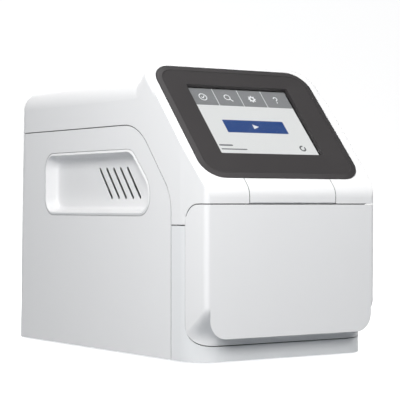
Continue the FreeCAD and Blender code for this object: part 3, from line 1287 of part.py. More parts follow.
def make_rear_blocks():
    """Two upright posts behind the rear panel that its screws bite into."""
    x = HALF_WIDTH - REAR_CORNER_RADIUS - SCREW_INSET
    half = REAR_POST_WIDTH / 2
    post = block(-x - half, -x + half, REAR_PANEL_IN - REAR_POST_DEPTH, REAR_PANEL_IN, FLOOR_TOP,
                 REAR_PANEL_TOP)
    for place in rear_screw_places():
        if place.x < 0:
            post = post.cut(rod(Vector(place.x, REAR_PANEL_IN - SCREW_SHANK_LENGTH, place.z),
                                Vector(0, 1, 0), SCREW_SHANK_RADIUS, SCREW_SHANK_LENGTH))
    return Part.makeCompound([post, mirrored(post)])


def make_fan_frame():
    """Square fan frame on the inside of the rear panel, with three spokes, a hub and a pin."""
    half = FAN_SIZE / 2
    y0 = REAR_PANEL_IN - FAN_DEPTH
    corners = [(FAN_X + sx * half, FAN_Z + sz * half, FAN_CORNER_RADIUS)
               for sx, sz in ((-1, -1), (1, -1), (1, 1), (-1, 1))]
    centre = Vector(FAN_X, y0, FAN_Z)
    back = Vector(0, 1, 0)
    frame = front_prism(corners, y0, REAR_PANEL_IN).cut(rod(centre, back, FAN_BORE_RADIUS, FAN_DEPTH))
    spokes = []
    for turn in FAN_SPOKE_TURNS:
        spoke = block(0, FAN_BORE_RADIUS + FAN_SPOKE_DEPTH / 2, y0, y0 + FAN_SPOKE_DEPTH,
                      -FAN_SPOKE_WIDTH / 2, FAN_SPOKE_WIDTH / 2)
        spoke.rotate(Vector(0, 0, 0), back, turn)
        spoke.translate(Vector(FAN_X, 0, FAN_Z))
        spokes.append(spoke)
    hub = rod(centre, back, FAN_HUB_RADIUS, FAN_SPOKE_DEPTH)
    pin = rod(centre, back, FAN_PIN_RADIUS, FAN_PIN_LENGTH)
    frame = fuse_all([frame, hub, pin] + spokes)
    for place in fan_screw_places():
        frame = frame.cut(rod(Vector(place.x, y0, place.z), back, SCREW_SHANK_RADIUS, FAN_DEPTH))
    return frame


def make_fan_rotor():
    """Rotor whose slanted blades are joined to a hub that turns on the frame's pin."""
    y0 = REAR_PANEL_IN - FAN_DEPTH + FAN_ROTOR_FRONT_GAP
    y1 = REAR_PANEL_IN - FAN_ROTOR_REAR_GAP
    start = Vector(FAN_X, y0, FAN_Z)
    back = Vector(0, 1, 0)
    pieces = [rod(start, back, FAN_HUB_RADIUS, y1 - y0)]
    reach = FAN_BORE_RADIUS - FAN_BLADE_CLEARANCE
    for index in range(FAN_BLADE_COUNT):
        blade = block(FAN_HUB_RADIUS - FAN_BLADE_ROOT, reach, -FAN_BLADE_THICKNESS / 2,
                      FAN_BLADE_THICKNESS / 2, -FAN_BLADE_CHORD / 2, FAN_BLADE_CHORD / 2)
        blade.rotate(Vector(0, 0, 0), Vector(1, 0, 0), FAN_BLADE_PITCH)
        blade.translate(Vector(0, (y0 + y1) / 2, 0))
        blade.rotate(Vector(0, 0, 0), back, 360 * index / FAN_BLADE_COUNT)
        blade.translate(Vector(FAN_X, 0, FAN_Z))
        pieces.append(blade)
    rotor = fuse_all(pieces).common(rod(start, back, reach, y1 - y0))
    bore_depth = FAN_PIN_LENGTH - FAN_ROTOR_FRONT_GAP + FAN_PIN_END_GAP
    return rotor.cut(rod(start, back, FAN_PIN_RADIUS + SHAFT_CLEARANCE, bore_depth))


def make_mains_inlet():
    """Mains inlet with a flange, a body through the panel and a socket recess."""
    out = REAR_PANEL_OUT + INLET_FLANGE_THICKNESS
    flange = block(INLET_X - INLET_FLANGE_WIDTH / 2, INLET_X + INLET_FLANGE_WIDTH / 2, REAR_PANEL_OUT, out,
                   INLET_Z - INLET_FLANGE_HEIGHT / 2, INLET_Z + INLET_FLANGE_HEIGHT / 2)
    corners = [edge for edge in flange.Edges if edge.BoundBox.YLength > INLET_FLANGE_THICKNESS / 2]
    flange = flange.makeFillet(INLET_CORNER_RADIUS, corners)
    body = block(INLET_X - INLET_BODY_WIDTH / 2, INLET_X + INLET_BODY_WIDTH / 2, out - INLET_BODY_DEPTH,
                 out, INLET_Z - INLET_BODY_HEIGHT / 2, INLET_Z + INLET_BODY_HEIGHT / 2)
    socket = block(INLET_X - INLET_SOCKET_WIDTH / 2, INLET_X + INLET_SOCKET_WIDTH / 2,
                   out - INLET_SOCKET_DEPTH, out, INLET_Z - INLET_SOCKET_HEIGHT / 2,
                   INLET_Z + INLET_SOCKET_HEIGHT / 2)
    upper = [edge for edge in socket.Edges
             if edge.BoundBox.YLength > INLET_FLANGE_THICKNESS and edge.BoundBox.ZMin > INLET_Z]
    return fuse_all([flange, body]).cut(socket.makeFillet(INLET_CORNER_RADIUS, upper))


def make_inlet_pins():
    """Three flat contact pins in the inlet."""
    floor = REAR_PANEL_OUT + INLET_FLANGE_THICKNESS - INLET_SOCKET_DEPTH
    pins = []
    for dx, dz in INLET_PIN_PLACES:
        x0 = INLET_X + dx - INLET_PIN_WIDTH / 2
        z0 = INLET_Z + dz - INLET_PIN_HEIGHT / 2
        pins.append(block(x0, x0 + INLET_PIN_WIDTH, floor, floor + INLET_PIN_LENGTH, z0,
                          z0 + INLET_PIN_HEIGHT))
    return Part.makeCompound(pins)


def make_rocker_frame():
    """Frame of the rocker switch with a hollow for the rocker."""
    out = REAR_PANEL_OUT + SWITCH_FLANGE
    wall = SWITCH_FRAME_WALL
    flange = block(SWITCH_X - SWITCH_WIDTH / 2 - wall, SWITCH_X + SWITCH_WIDTH / 2 + wall, REAR_PANEL_OUT,
                   out, SWITCH_Z - SWITCH_HEIGHT / 2 - wall, SWITCH_Z + SWITCH_HEIGHT / 2 + wall)
    body = block(SWITCH_X - SWITCH_WIDTH / 2, SWITCH_X + SWITCH_WIDTH / 2, out - SWITCH_DEPTH, out,
                 SWITCH_Z - SWITCH_HEIGHT / 2, SWITCH_Z + SWITCH_HEIGHT / 2)
    hollow = block(SWITCH_X - SWITCH_WIDTH / 2 + wall, SWITCH_X + SWITCH_WIDTH / 2 - wall,
                   out - SWITCH_DEPTH + wall, out, SWITCH_Z - SWITCH_HEIGHT / 2 + wall,
                   SWITCH_Z + SWITCH_HEIGHT / 2 - wall)
    return fuse_all([flange, body]).cut(hollow)


ROCKER_AXIS_Y = REAR_PANEL_OUT + SWITCH_FLANGE - ROCKER_AXIS_DEPTH


def make_power_rocker():
    """Rocker key on a cross pivot, shown in its off position."""
    half_w = SWITCH_WIDTH / 2 - SWITCH_FRAME_WALL - ROCKER_GAP
    half_h = SWITCH_HEIGHT / 2 - SWITCH_FRAME_WALL - ROCKER_GAP
    lean = math.tan(math.radians(ROCKER_THROW / 2)) * half_w
    low = ROCKER_AXIS_Y - ROCKER_UNDER
    peak = ROCKER_AXIS_Y + ROCKER_OVER
    key_w = half_w - ROCKER_END_GAP
    points = [Vector(-key_w, low, -half_h), Vector(key_w, low, -half_h),
              Vector(key_w, peak + lean / 2, -half_h), Vector(0, peak - lean / 2, -half_h),
              Vector(-key_w, peak + lean / 2, -half_h), Vector(-key_w, low, -half_h)]
    key = Part.Face(Part.makePolygon(points)).extrude(Vector(0, 0, 2 * half_h))
    key.rotate(Vector(0, ROCKER_AXIS_Y, 0), Vector(0, 0, 1), -ROCKER_THROW / 2)
    key.translate(Vector(SWITCH_X, 0, SWITCH_Z))
    return key


def make_rocker_pin():
    """Cross pin that the rocker turns on."""
    half = SWITCH_HEIGHT / 2 - SWITCH_FRAME_WALL
    start = Vector(SWITCH_X, ROCKER_AXIS_Y, SWITCH_Z - half)
    return rod(start, Vector(0, 0, 1), ROCKER_PIN_RADIUS, 2 * half)


def make_network_socket():
    """Network socket through the rear panel."""
    out = REAR_PANEL_OUT + SOCKET_PROUD
    half_w = NETWORK_WIDTH / 2
    half_h = NETWORK_HEIGHT / 2
    body = block(NETWORK_X - half_w, NETWORK_X + half_w, out - NETWORK_DEPTH, out, NETWORK_Z - half_h,
                 NETWORK_Z + half_h)
    hollow = block(NETWORK_X - half_w + NETWORK_WALL, NETWORK_X + half_w - NETWORK_WALL,
                   out - NETWORK_DEPTH + NETWORK_WALL, out, NETWORK_Z - half_h + 2 * NETWORK_WALL,
                   NETWORK_Z + half_h - NETWORK_WALL)
    return body.cut(hollow)


def make_rear_usb():
    """Single socket through the rear panel."""
    return usb_shell(REAR_USB_X, REAR_PANEL_OUT + SOCKET_PROUD, -1, NETWORK_Z - USB_HEIGHT / 2)


def make_io_board():
    """Small board behind the rear sockets, fixed to the rear panel."""
    low = NETWORK_Z - NETWORK_HEIGHT / 2 - BOARD_THICKNESS
    return block(NETWORK_X - IO_BOARD_MARGIN, REAR_USB_X + IO_BOARD_MARGIN, REAR_PANEL_IN - IO_BOARD_DEPTH,
                 REAR_PANEL_IN, low, low + BOARD_THICKNESS)


def build_parts():
    """Every node by name."""
    panel = make_side_panel()
    rail = make_rail()
    guide = make_guide()
    bracket = make_guide_bracket()
    rocker = make_power_rocker()
    pin = make_rocker_pin()
    rocker_bore = rod(Vector(SWITCH_X, ROCKER_AXIS_Y, 0), Vector(0, 0, 1), 1.0 + SHAFT_CLEARANCE, DECK_HEIGHT)
    return {
        "top_cover": make_top_cover(),
        "side_panel_left": panel,
        "side_panel_right": mirrored(panel),
        "base_tray": make_base_tray(),
        "rubber_feet": make_feet(),
        "chassis_plate": make_chassis_plate(),
        "drawer_front": make_drawer_front(),
        "drawer_tray": make_drawer_tray(),
        "drawer_rail_left": rail,
        "drawer_rail_right": mirrored(rail),
        "guide_left": guide,
        "guide_right": mirrored(guide),
        "guide_bracket_left": bracket,
        "guide_bracket_right": mirrored(bracket),
        "drive_rack": make_rack(),
        "drive_pinion": make_pinion(),
        "drive_motor": make_drive_motor(),
        "motor_bracket": make_motor_bracket(),
        "spindle_motor": make_spindle_motor(),
        "turntable": make_turntable(),
        "optics_deck": make_optics_deck(),
        "heated_lid": make_heated_lid(),
        "lamp_housing": make_lamp_housing(),
        "lens_tube": make_lens_tube(),
        "detector_block": make_detector_block(),
        "screen_bezel": make_screen_bezel(),
        "cover_glass": make_cover_glass(),
        "lcd_panel": make_lcd_panel(),
        "lcd_bracket": make_lcd_bracket(),
        "display_board": make_display_board(),
        "front_flap": make_front_flap(),
        "flap_hinge_pins": make_flap_pins(),
        "port_ledge": make_port_ledge(),
        "port_board": make_port_board(),
        "front_usb_sockets": make_front_usb(),
        "card_slot": make_card_slot(),
        "board_plate": make_board_plate(),
        "board_standoffs": make_board_standoffs(),
        "main_board": make_main_board(),
        "board_parts": make_board_parts(),
        "power_supply": make_power_supply(),
        "rear_panel": make_rear_panel(),
        "rear_posts": make_rear_blocks(),
        "fan_frame": make_fan_frame(),
        "fan_rotor": make_fan_rotor(),
        "mains_inlet": make_mains_inlet(),
        "inlet_pins": make_inlet_pins(),
        "rocker_frame": make_rocker_frame(),
        "power_rocker": rocker.cut(rocker_bore),
        "rocker_pin": pin,
        "network_socket": make_network_socket(),
        "rear_usb_socket": make_rear_usb(),
        "io_board": make_io_board(),
        "rear_screws": screws_at(rear_screw_places(), REAR_PANEL_SHEET + SCREW_SHANK_LENGTH),
        "fan_screws": screws_at(fan_screw_places(), REAR_PANEL_SHEET + SCREW_SHANK_LENGTH),
    }


os.makedirs("parts", exist_ok=True)
for name, shape in build_parts().items():
    solids = shape.Solids
    box = shape.optimalBoundingBox(False)
    print("%-20s %2d solid(s) %s  x %7.1f %7.1f  y %7.1f %7.1f  z %6.1f %6.1f" % (
        name, len(solids), "ok " if shape.isValid() else "BAD", box.XMin, box.XMax, box.YMin, box.YMax,
        box.ZMin, box.ZMax))
    kept = solids[0] if len(solids) == 1 else Part.makeCompound(solids)
    kept.exportStep("parts/" + name + ".step")
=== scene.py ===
# %% [markdown]
# A portable chemistry analyzer: a white bench box with a sloped touch screen, a dished grip on each
# side and a motor driven drawer at the front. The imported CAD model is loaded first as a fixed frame,
# so that every new piece can be placed from it and nothing has to be fitted by eye.

# %% Load the frame
import math
import bpy
import numpy as np
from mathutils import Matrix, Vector
from mathutils.bvhtree import BVHTree


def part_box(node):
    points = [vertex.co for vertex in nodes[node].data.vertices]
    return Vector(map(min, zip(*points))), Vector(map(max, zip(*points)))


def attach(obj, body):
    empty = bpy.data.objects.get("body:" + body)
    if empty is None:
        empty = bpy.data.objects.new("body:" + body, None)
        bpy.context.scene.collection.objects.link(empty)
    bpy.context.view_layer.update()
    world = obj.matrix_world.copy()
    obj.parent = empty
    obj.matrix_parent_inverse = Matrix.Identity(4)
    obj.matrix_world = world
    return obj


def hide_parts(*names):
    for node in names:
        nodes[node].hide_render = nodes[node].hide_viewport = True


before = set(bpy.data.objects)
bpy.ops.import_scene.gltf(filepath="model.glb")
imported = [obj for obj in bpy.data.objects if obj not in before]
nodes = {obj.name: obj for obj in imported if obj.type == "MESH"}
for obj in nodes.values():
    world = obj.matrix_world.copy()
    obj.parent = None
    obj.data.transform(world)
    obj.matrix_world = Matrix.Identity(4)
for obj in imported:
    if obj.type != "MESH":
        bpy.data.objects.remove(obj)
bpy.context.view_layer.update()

# %% [markdown]
# A product shot of a box like this is made from a little below its lid with a long lens, so the upright
# edges stay upright. The camera is level, turned to the left front, and a small lens shift lowers the
# picture instead of a tilt.

# %% The camera
camera_data = bpy.data.cameras.new("camera")
camera_data.lens = 136.52
camera_data.sensor_width = 36.0
camera_data.shift_y = 0.0113
camera_data.clip_end = 20.0
camera = bpy.data.objects.new("camera", camera_data)
camera.location = (-0.8457, -1.2816, 0.1426)
camera.rotation_euler = (math.radians(90.0), 0.0, math.radians(-34.03))
bpy.context.scene.collection.objects.link(camera)
bpy.context.scene.camera = camera
print("lens", round(camera_data.lens, 1), "mm, at", [round(v, 3) for v in camera.location])

# %% [markdown]
# Every material here is a small graph of nodes, so three helpers come first: one makes an empty material,
# one adds a node with its inputs filled in, and one joins two sockets.

# %% Helpers for node materials
def new_material(name):
    """An empty node material with its shader, returned with both."""
    material = bpy.data.materials.new(name)
    material.use_nodes = True
    shader = material.node_tree.nodes["Principled BSDF"]
    return material, shader


def add_node(material, kind, **values):
    """A node of one kind, with its named inputs or settings filled in."""
    made = material.node_tree.nodes.new(kind)
    for key, value in values.items():
        if key in made.inputs:
            made.inputs[key].default_value = value
        else:
            setattr(made, key, value)
    return made


def wire(material, source, target):
    """Joins one socket to another."""
    material.node_tree.links.new(source, target)


# %% [markdown]
# The studio is a pale floor that runs up into a wall in one wide curve, so that no horizon shows. It is a
# profile carried across: flat, then a quarter circle, then upright.

# %% A floor that curves up into a backdrop
def backdrop(half_width, front, back, radius, height, steps=24):
    """A profile carried across: a flat run, then a quarter circle of a given radius, then a wall."""
    turn = np.linspace(0.0, math.pi / 2, steps)
    y = np.concatenate([[front], back - radius + radius * np.sin(turn), [back]])
    z = np.concatenate([[0.0], radius - radius * np.cos(turn), [height]])
    points = np.zeros((len(y), 2, 3))
    points[:, 0, 0] = -half_width
    points[:, 1, 0] = half_width
    points[:, :, 1] = y[:, None]
    points[:, :, 2] = z[:, None]
    low = np.arange(len(y) - 1) * 2
    faces = np.stack([low, low + 1, low + 3, low + 2], axis=1)
    mesh = bpy.data.meshes.new("backdrop")
    mesh.from_pydata(points.reshape(-1, 3).tolist(), [], faces.tolist())
    mesh.shade_smooth()
    made = bpy.data.objects.new("backdrop", mesh)
    bpy.context.scene.collection.objects.link(made)
    return made


floor = backdrop(7.0, -5.0, 5.0, 2.5, 6.0)
floor_material, floor_shader = new_material("pale_floor")
floor_shader.inputs["Base Color"].default_value = (0.955, 0.955, 0.96, 1.0)
floor_shader.inputs["Roughness"].default_value = 0.8
floor_shader.inputs["Specular IOR Level"].default_value = 0.1
floor_shader.inputs["Emission Color"].default_value = (1.0, 1.0, 1.0, 1.0)
floor_shader.inputs["Emission Strength"].default_value = 0.8
floor.visible_diffuse = False
floor.data.materials.append(floor_material)
print("backdrop faces", len(floor.data.polygons))

# %% [markdown]
# White plastic needs soft light from large sources. A wide panel overhead makes the slope, the lid and
# the floor the brightest faces. A panel at the left rakes the side, so that it falls off to the rear. One
# in front keeps the drawer and the flap clear, and one behind serves the other views. The sky fills
# the rest. Below the horizon it is a cool grey, because a studio floor throws light back up, and the lower
# edges of the real object look faintly blue. Seen straight on, the sky is white like the backdrop.

# %% Lamps and sky
def soft_panel(name, place, aim, width, height, watts):
    """A large flat lamp that faces a point."""
    lamp = bpy.data.lights.new(name, "AREA")
    lamp.shape = "RECTANGLE"
    lamp.size = width
    lamp.size_y = height
    lamp.energy = watts
    made = bpy.data.objects.new(name, lamp)
    made.location = place
    made.rotation_euler = (Vector(aim) - Vector(place)).to_track_quat("-Z", "Y").to_euler()
    bpy.context.scene.collection.objects.link(made)


soft_panel("overhead_panel", (0.0, 0.3, 3.0), (0.0, 0.3, 0.0), 2.4, 3.2, 43.0)
soft_panel("left_panel", (-0.74, -0.60, 0.62), (-0.05, -0.05, 0.14), 0.5, 0.5, 9.6)
soft_panel("front_panel", (0.45, -1.1, 0.90), (0.0, -0.1, 0.12), 0.6, 0.5, 6.7)
soft_panel("back_panel", (0.55, 1.3, 0.55), (0.0, 0.18, 0.15), 0.8, 0.6, 9.0)
sky = bpy.data.worlds.new("studio")
sky.use_nodes = True
light = sky.node_tree.nodes["Background"]
way = add_node(sky, "ShaderNodeTexCoord")
height = add_node(sky, "ShaderNodeSeparateXYZ")
wire(sky, way.outputs["Generated"], height.inputs["Vector"])
rise = add_node(sky, "ShaderNodeMapRange")
rise.inputs["From Min"].default_value = -0.35
rise.inputs["From Max"].default_value = 0.05
wire(sky, height.outputs["Z"], rise.inputs["Value"])
tint = add_node(sky, "ShaderNodeMix", data_type="RGBA")
tint.inputs[6].default_value = (0.165, 0.19, 0.215, 1.0)
tint.inputs[7].default_value = (0.15, 0.15, 0.15, 1.0)
wire(sky, rise.outputs["Result"], tint.inputs["Factor"])
path = add_node(sky, "ShaderNodeLightPath")
seen = add_node(sky, "ShaderNodeMix", data_type="RGBA")
seen.inputs[7].default_value = (0.97, 0.97, 0.97, 1.0)
wire(sky, path.outputs["Is Camera Ray"], seen.inputs["Factor"])
wire(sky, tint.outputs[2], seen.inputs[6])
wire(sky, seen.outputs[2], light.inputs["Color"])
light.inputs["Strength"].default_value = 1.0
bpy.context.scene.world = sky
bpy.context.scene.view_settings.view_transform = "Standard"

# %% [markdown]
# The housing is injection moulded plastic with a fine satin grain. A flat colour would look like paint
# on a computer model, so the grain is a very small bump, the gloss varies a little from place to place,
# and the Bevel node rounds every edge by a fraction of a millimetre, as a mould does. A seam is deep and
# narrow and little light gets into it, so it reads as a fine dark line. The Ambient Occlusion node finds
# such places and mixes a dark tone into the colour: painted shade in seams and narrow hollows.

# %% Moulded plastic
def soft_tone(material, shader, place, colour, scale, spread):
    """Mixes two near tones of one colour by a soft cloud, and returns the cloud's output."""
    cloud = add_node(material, "ShaderNodeTexNoise", Scale=scale, Detail=3.0)
    wire(material, place.outputs["Object"], cloud.inputs["Vector"])
    tone = add_node(material, "ShaderNodeMix", data_type="RGBA")
    tone.inputs[6].default_value = (*[c * (1.0 - spread) for c in colour], 1.0)
    tone.inputs[7].default_value = (*[min(1.0, c * (1.0 + spread)) for c in colour], 1.0)
    wire(material, cloud.outputs["Fac"], tone.inputs["Factor"])
    wire(material, tone.outputs[2], shader.inputs["Base Color"])
    return cloud.outputs["Fac"]


def vary_gloss(material, shader, source, low, high):
    """Lets the roughness run from low to high with a pattern."""
    gloss = add_node(material, "ShaderNodeMapRange")
    gloss.inputs["To Min"].default_value = low
    gloss.inputs["To Max"].default_value = high
    wire(material, source, gloss.inputs["Value"])
    wire(material, gloss.outputs["Result"], shader.inputs["Roughness"])


def bump_over_edges(material, shader, height, strength, distance, edge):
    """A bump from a pattern, laid over normals that are rounded at the edges."""
    bump = add_node(material, "ShaderNodeBump", Strength=strength, Distance=distance)
    wire(material, height, bump.inputs["Height"])
    rounded = add_node(material, "ShaderNodeBevel", samples=4, Radius=edge)
    wire(material, rounded.outputs["Normal"], bump.inputs["Normal"])
    wire(material, bump.outputs["Normal"], shader.inputs["Normal"])


def moulded_plastic(name, colour, roughness, grain_size=0.0006, grain=0.05, edge=0.0004, spread=0.012,
                    seam_shade_reach=0.003):
    """Plastic whose colour, gloss and fine grain vary on Object coordinates, with painted shade in seams when
    a reach is given.
    """
    material, shader = new_material(name)
    place = add_node(material, "ShaderNodeTexCoord")
    cloud = soft_tone(material, shader, place, colour, 14.0, spread)
    vary_gloss(material, shader, cloud, roughness - 0.03, roughness + 0.05)
    sand = add_node(material, "ShaderNodeTexNoise", Scale=1.0 / grain_size, Detail=2.0)
    wire(material, place.outputs["Object"], sand.inputs["Vector"])
    bump_over_edges(material, shader, sand.outputs["Fac"], grain, 0.0001, edge)
    shader.inputs["IOR"].default_value = 1.46
    if seam_shade_reach:
        paint_seam_shade(material, shader, seam_shade_reach)
    return material


def paint_seam_shade(material, shader, reach):
    """Paints shade into the colour where other surfaces close it in within a given reach, as inside a seam.
    """
    source = shader.inputs["Base Color"].links[0].from_socket
    seam_occlusion = add_node(material, "ShaderNodeAmbientOcclusion", samples=8, Distance=reach)
    shade = add_node(material, "ShaderNodeMapRange")
    shade.inputs["From Min"].default_value = 0.18
    shade.inputs["From Max"].default_value = 0.46
    wire(material, seam_occlusion.outputs["AO"], shade.inputs["Value"])
    painted_shade = add_node(material, "ShaderNodeMix", data_type="RGBA")
    # The near-black tone of the painted seam shade.
    painted_shade.inputs[6].default_value = (0.03, 0.03, 0.03, 1.0)
    wire(material, shade.outputs["Result"], painted_shade.inputs["Factor"])
    wire(material, source, painted_shade.inputs[7])
    wire(material, painted_shade.outputs[2], shader.inputs["Base Color"])


def finish_nodes(material, *names):
    """Gives CAD nodes one material."""
    for name in names:
        mesh = nodes[name].data
        mesh.materials.clear()
        mesh.materials.append(material)


# %% The white shell, the base and the dark bezel
SHELL_COLOUR = (0.83, 0.83, 0.835)
shell_white = moulded_plastic("shell_white", SHELL_COLOUR, 0.46)
base_white = moulded_plastic("base_white", (0.80, 0.81, 0.82), 0.40)
bezel_dark = moulded_plastic("bezel_dark", (0.034, 0.031, 0.032), 0.40, grain_size=0.0005, spread=0.08)
finish_nodes(shell_white, "top_cover", "side_panel_left", "side_panel_right", "drawer_front", "front_flap")
finish_nodes(base_white, "base_tray", "rear_posts")
finish_nodes(bezel_dark, "screen_bezel")
print("moulded pieces", len([o for o in nodes.values() if o.data.materials]))

# %% [markdown]
# The display is a lit panel behind touch glass. Its picture could be an image, but drawn shapes stay
# sharp at any distance, so the panel is a thin closed slab with flat plates on it, each a few hundredths
# of a millimetre thick: a pale ground, a grey bar of four tabs, a blue start key and plain marks. All
# outlines are worked out in the plane of the glass, u to the right and v up the slope, in millimetres,
# and then turned onto the slope in one step.

# %% The plane of the screen
screen_tilt = math.radians(48.5)
screen_centre = np.array([0.0, -120.3, 220.75])
slope_up = np.array([0.0, math.cos(screen_tilt), math.sin(screen_tilt)])
slope_out = np.array([0.0, -math.sin(screen_tilt), math.cos(screen_tilt)])
GLASS_BACK = -1.2


def on_slope(points):
    """Points (u, v, n) in millimetres as metres: the centre plus u across, v up the slope and n out of it."""
    across = points[:, 0:1] * np.array([[1.0, 0.0, 0.0]])
    return (screen_centre + across + points[:, 1:2] * slope_up + points[:, 2:3] * slope_out) / 1000.0


def closed_piece(name, points, faces, material, body="housing"):
    """A mesh object at the origin that rides on a body, with its faces turned outwards."""
    mesh = bpy.data.meshes.new(name)
    mesh.from_pydata(points.tolist(), [], faces)
    mesh.validate()
    mesh.materials.append(material)
    made = bpy.data.objects.new(name, mesh)
    bpy.context.scene.collection.objects.link(made)
    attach(made, body)
    return made


def plates(outlines, low, high):
    """Closed plates: each outline (u, v), run anticlockwise, is stood from level low to level high."""
    points = []
    faces = []
    start = 0
    for outline in outlines:
        count = len(outline)
        levels = [np.column_stack([outline, np.full(count, level)]) for level in (low, high)]
        points.extend(levels)
        ring = np.arange(count)
        after = (ring + 1) % count
        faces.append((start + ring[::-1]).tolist())
        faces.append((start + count + ring).tolist())
        sides = np.stack([ring, after, after + count, ring + count], axis=1) + start
        faces.extend(sides.tolist())
        start += 2 * count
    return np.concatenate(points), faces


def rounded_box(u0, v0, u1, v1, radius, steps=6):
    """Outline of a rectangle with four quarter circles as corners, anticlockwise."""
    turn = np.linspace(0.0, math.pi / 2, steps)
    corners = [(u1 - radius, v1 - radius, 0), (u0 + radius, v1 - radius, 1),
               (u0 + radius, v0 + radius, 2), (u1 - radius, v0 + radius, 3)]
    arcs = [np.column_stack([u + radius * np.cos(turn + quarter * math.pi / 2),
                             v + radius * np.sin(turn + quarter * math.pi / 2)])
            for u, v, quarter in corners]
    return np.concatenate(arcs)


def disc_outline(u, v, radius, steps=20):
    """A circle as one outline."""
    turn = np.linspace(0.0, 2 * math.pi, steps, endpoint=False)
    return np.column_stack([u + radius * np.cos(turn), v + radius * np.sin(turn)])


def arc_outline(u, v, radius, stroke, start, end, steps=28):
    """A bent bar: out along the outer arc and back along the inner one, from start to end in degrees."""
    turn = np.radians(np.linspace(start, end, steps))
    way = np.column_stack([np.cos(turn), np.sin(turn)])
    outer = [u, v] + (radius + stroke / 2) * way
    inner = [u, v] + (radius - stroke / 2) * way
    return np.concatenate([outer, inner[::-1]])


def bar_outline(u0, v0, u1, v1, stroke):
    """A straight bar between two points: half its stroke is laid off to either side."""
    along = np.array([u1 - u0, v1 - v0])
    side = np.array([along[1], -along[0]]) / np.hypot(*along) * stroke / 2
    a = np.array([u0, v0])
    b = np.array([u1, v1])
    return np.array([a + side, b + side, b - side, a - side])


print("slope", round(math.degrees(screen_tilt), 1), "degrees, out along", slope_out.round(3))

# %% Lit colours of the display
def lit_colour(name, colour, strength=1.0):
    """A glowing surface with the fine rows of a display and a soft fall of light between them."""
    material, shader = new_material(name)
    place = add_node(material, "ShaderNodeTexCoord")
    rows = add_node(material, "ShaderNodeTexWave", Scale=900.0, wave_type="BANDS", bands_direction="X")
    wire(material, place.outputs["Object"], rows.inputs["Vector"])
    tone = add_node(material, "ShaderNodeMix", data_type="RGBA")
    tone.inputs[6].default_value = (*[c * 0.97 for c in colour], 1.0)
    tone.inputs[7].default_value = (*colour, 1.0)
    wire(material, rows.outputs["Fac"], tone.inputs["Factor"])
    wire(material, tone.outputs[2], shader.inputs["Emission Color"])
    shader.inputs["Emission Strength"].default_value = strength
    shader.inputs["Base Color"].default_value = (0.02, 0.02, 0.022, 1.0)
    shader.inputs["Roughness"].default_value = 0.5
    shader.inputs["Specular IOR Level"].default_value = 0.1
    return material


display_ground = lit_colour("display_ground", (0.765, 0.77, 0.765))
display_bar = lit_colour("display_bar", (0.235, 0.24, 0.245))
display_blue = lit_colour("display_blue", (0.009, 0.053, 0.225))
display_white = lit_colour("display_white", (0.86, 0.87, 0.88))
display_ink = lit_colour("display_ink", (0.13, 0.135, 0.14))
print("display colours", 5)

# %% [markdown]
# The panel itself is a metal framed module. Its body is a stack of rounded outlines: the sides go
# straight up, then step in to the glass, so the frame's edge shows when the bezel is looked into.

# %% The display module in place of its plain solid
def stacked_slab(sections):
    """Closed body through outlines of equal count, each at its level: rings of quads and two end caps."""
    count = len(sections[0][0])
    layers = [np.column_stack([outline, np.full(count, level)]) for outline, level in sections]
    points = np.concatenate(layers)
    ring = np.arange(count)
    after = (ring + 1) % count
    faces = [ring[::-1].tolist()]
    for step in range(len(sections) - 1):
        low = step * count
        high = low + count
        faces.extend(np.stack([low + ring, low + after, high + after, high + ring], axis=1).tolist())
    faces.append(((len(sections) - 1) * count + ring).tolist())
    return points, faces


MODULE_TOP = GLASS_BACK - 0.10
module_half = (63.0, 49.0)
sections = [(rounded_box(-module_half[0] + inset, -module_half[1] + inset, module_half[0] - inset,
                         module_half[1] - inset, 1.6 - inset), level)
            for inset, level in ((0.4, -6.2), (0.0, -5.8), (0.0, MODULE_TOP - 0.5), (0.5, MODULE_TOP))]
points, faces = stacked_slab(sections)
module_frame = moulded_plastic("module_frame", (0.10, 0.10, 0.105), 0.45)
lcd_module = closed_piece("lcd_module", on_slope(points), faces, module_frame)
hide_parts("lcd_panel")


def lit_piece(name, outlines, level, material):
    """Plates of one lit colour, 0.02 mm thick, on the display module."""
    low = MODULE_TOP + 0.02 * level
    points, faces = plates(outlines, low, low + 0.02)
    return closed_piece(name, on_slope(points), faces, material)


VIEW_U = 57.8
VIEW_V = 43.2
BAR_BOTTOM = 21.0
lit_piece("display_ground", [rounded_box(-VIEW_U, -VIEW_V, VIEW_U, VIEW_V, 0.2)], 0, display_ground)
lit_piece("tab_bar", [rounded_box(-VIEW_U, BAR_BOTTOM, VIEW_U, VIEW_V, 0.2)], 1, display_bar)
lit_piece("start_key", [rounded_box(-35.3, -13.7, 35.3, 2.5, 0.6)], 1, display_blue)
print("display module", len(faces), "faces")

# %% [markdown]
# The four tabs carry plain marks that any instrument might have: a tick in a ring, a magnifier, a cog
# and a help mark made of an arc and a dot. The start key has a plain arrowhead. Each mark is a handful of
# bars and arcs, so it is drawn from the same outlines.

# %% Marks on the tabs
def cog_outline(u, v, inner, outer, teeth=8, steps=6):
    """A closed wheel whose radius runs between two values as a flattened cosine of the angle."""
    turn = np.linspace(0.0, 2 * math.pi, teeth * steps, endpoint=False)
    wave = np.clip(0.5 + 1.1 * np.cos(teeth * turn), 0.0, 1.0)
    radius = inner + (outer - inner) * wave
    return np.column_stack([u + radius * np.cos(turn), v + radius * np.sin(turn)])


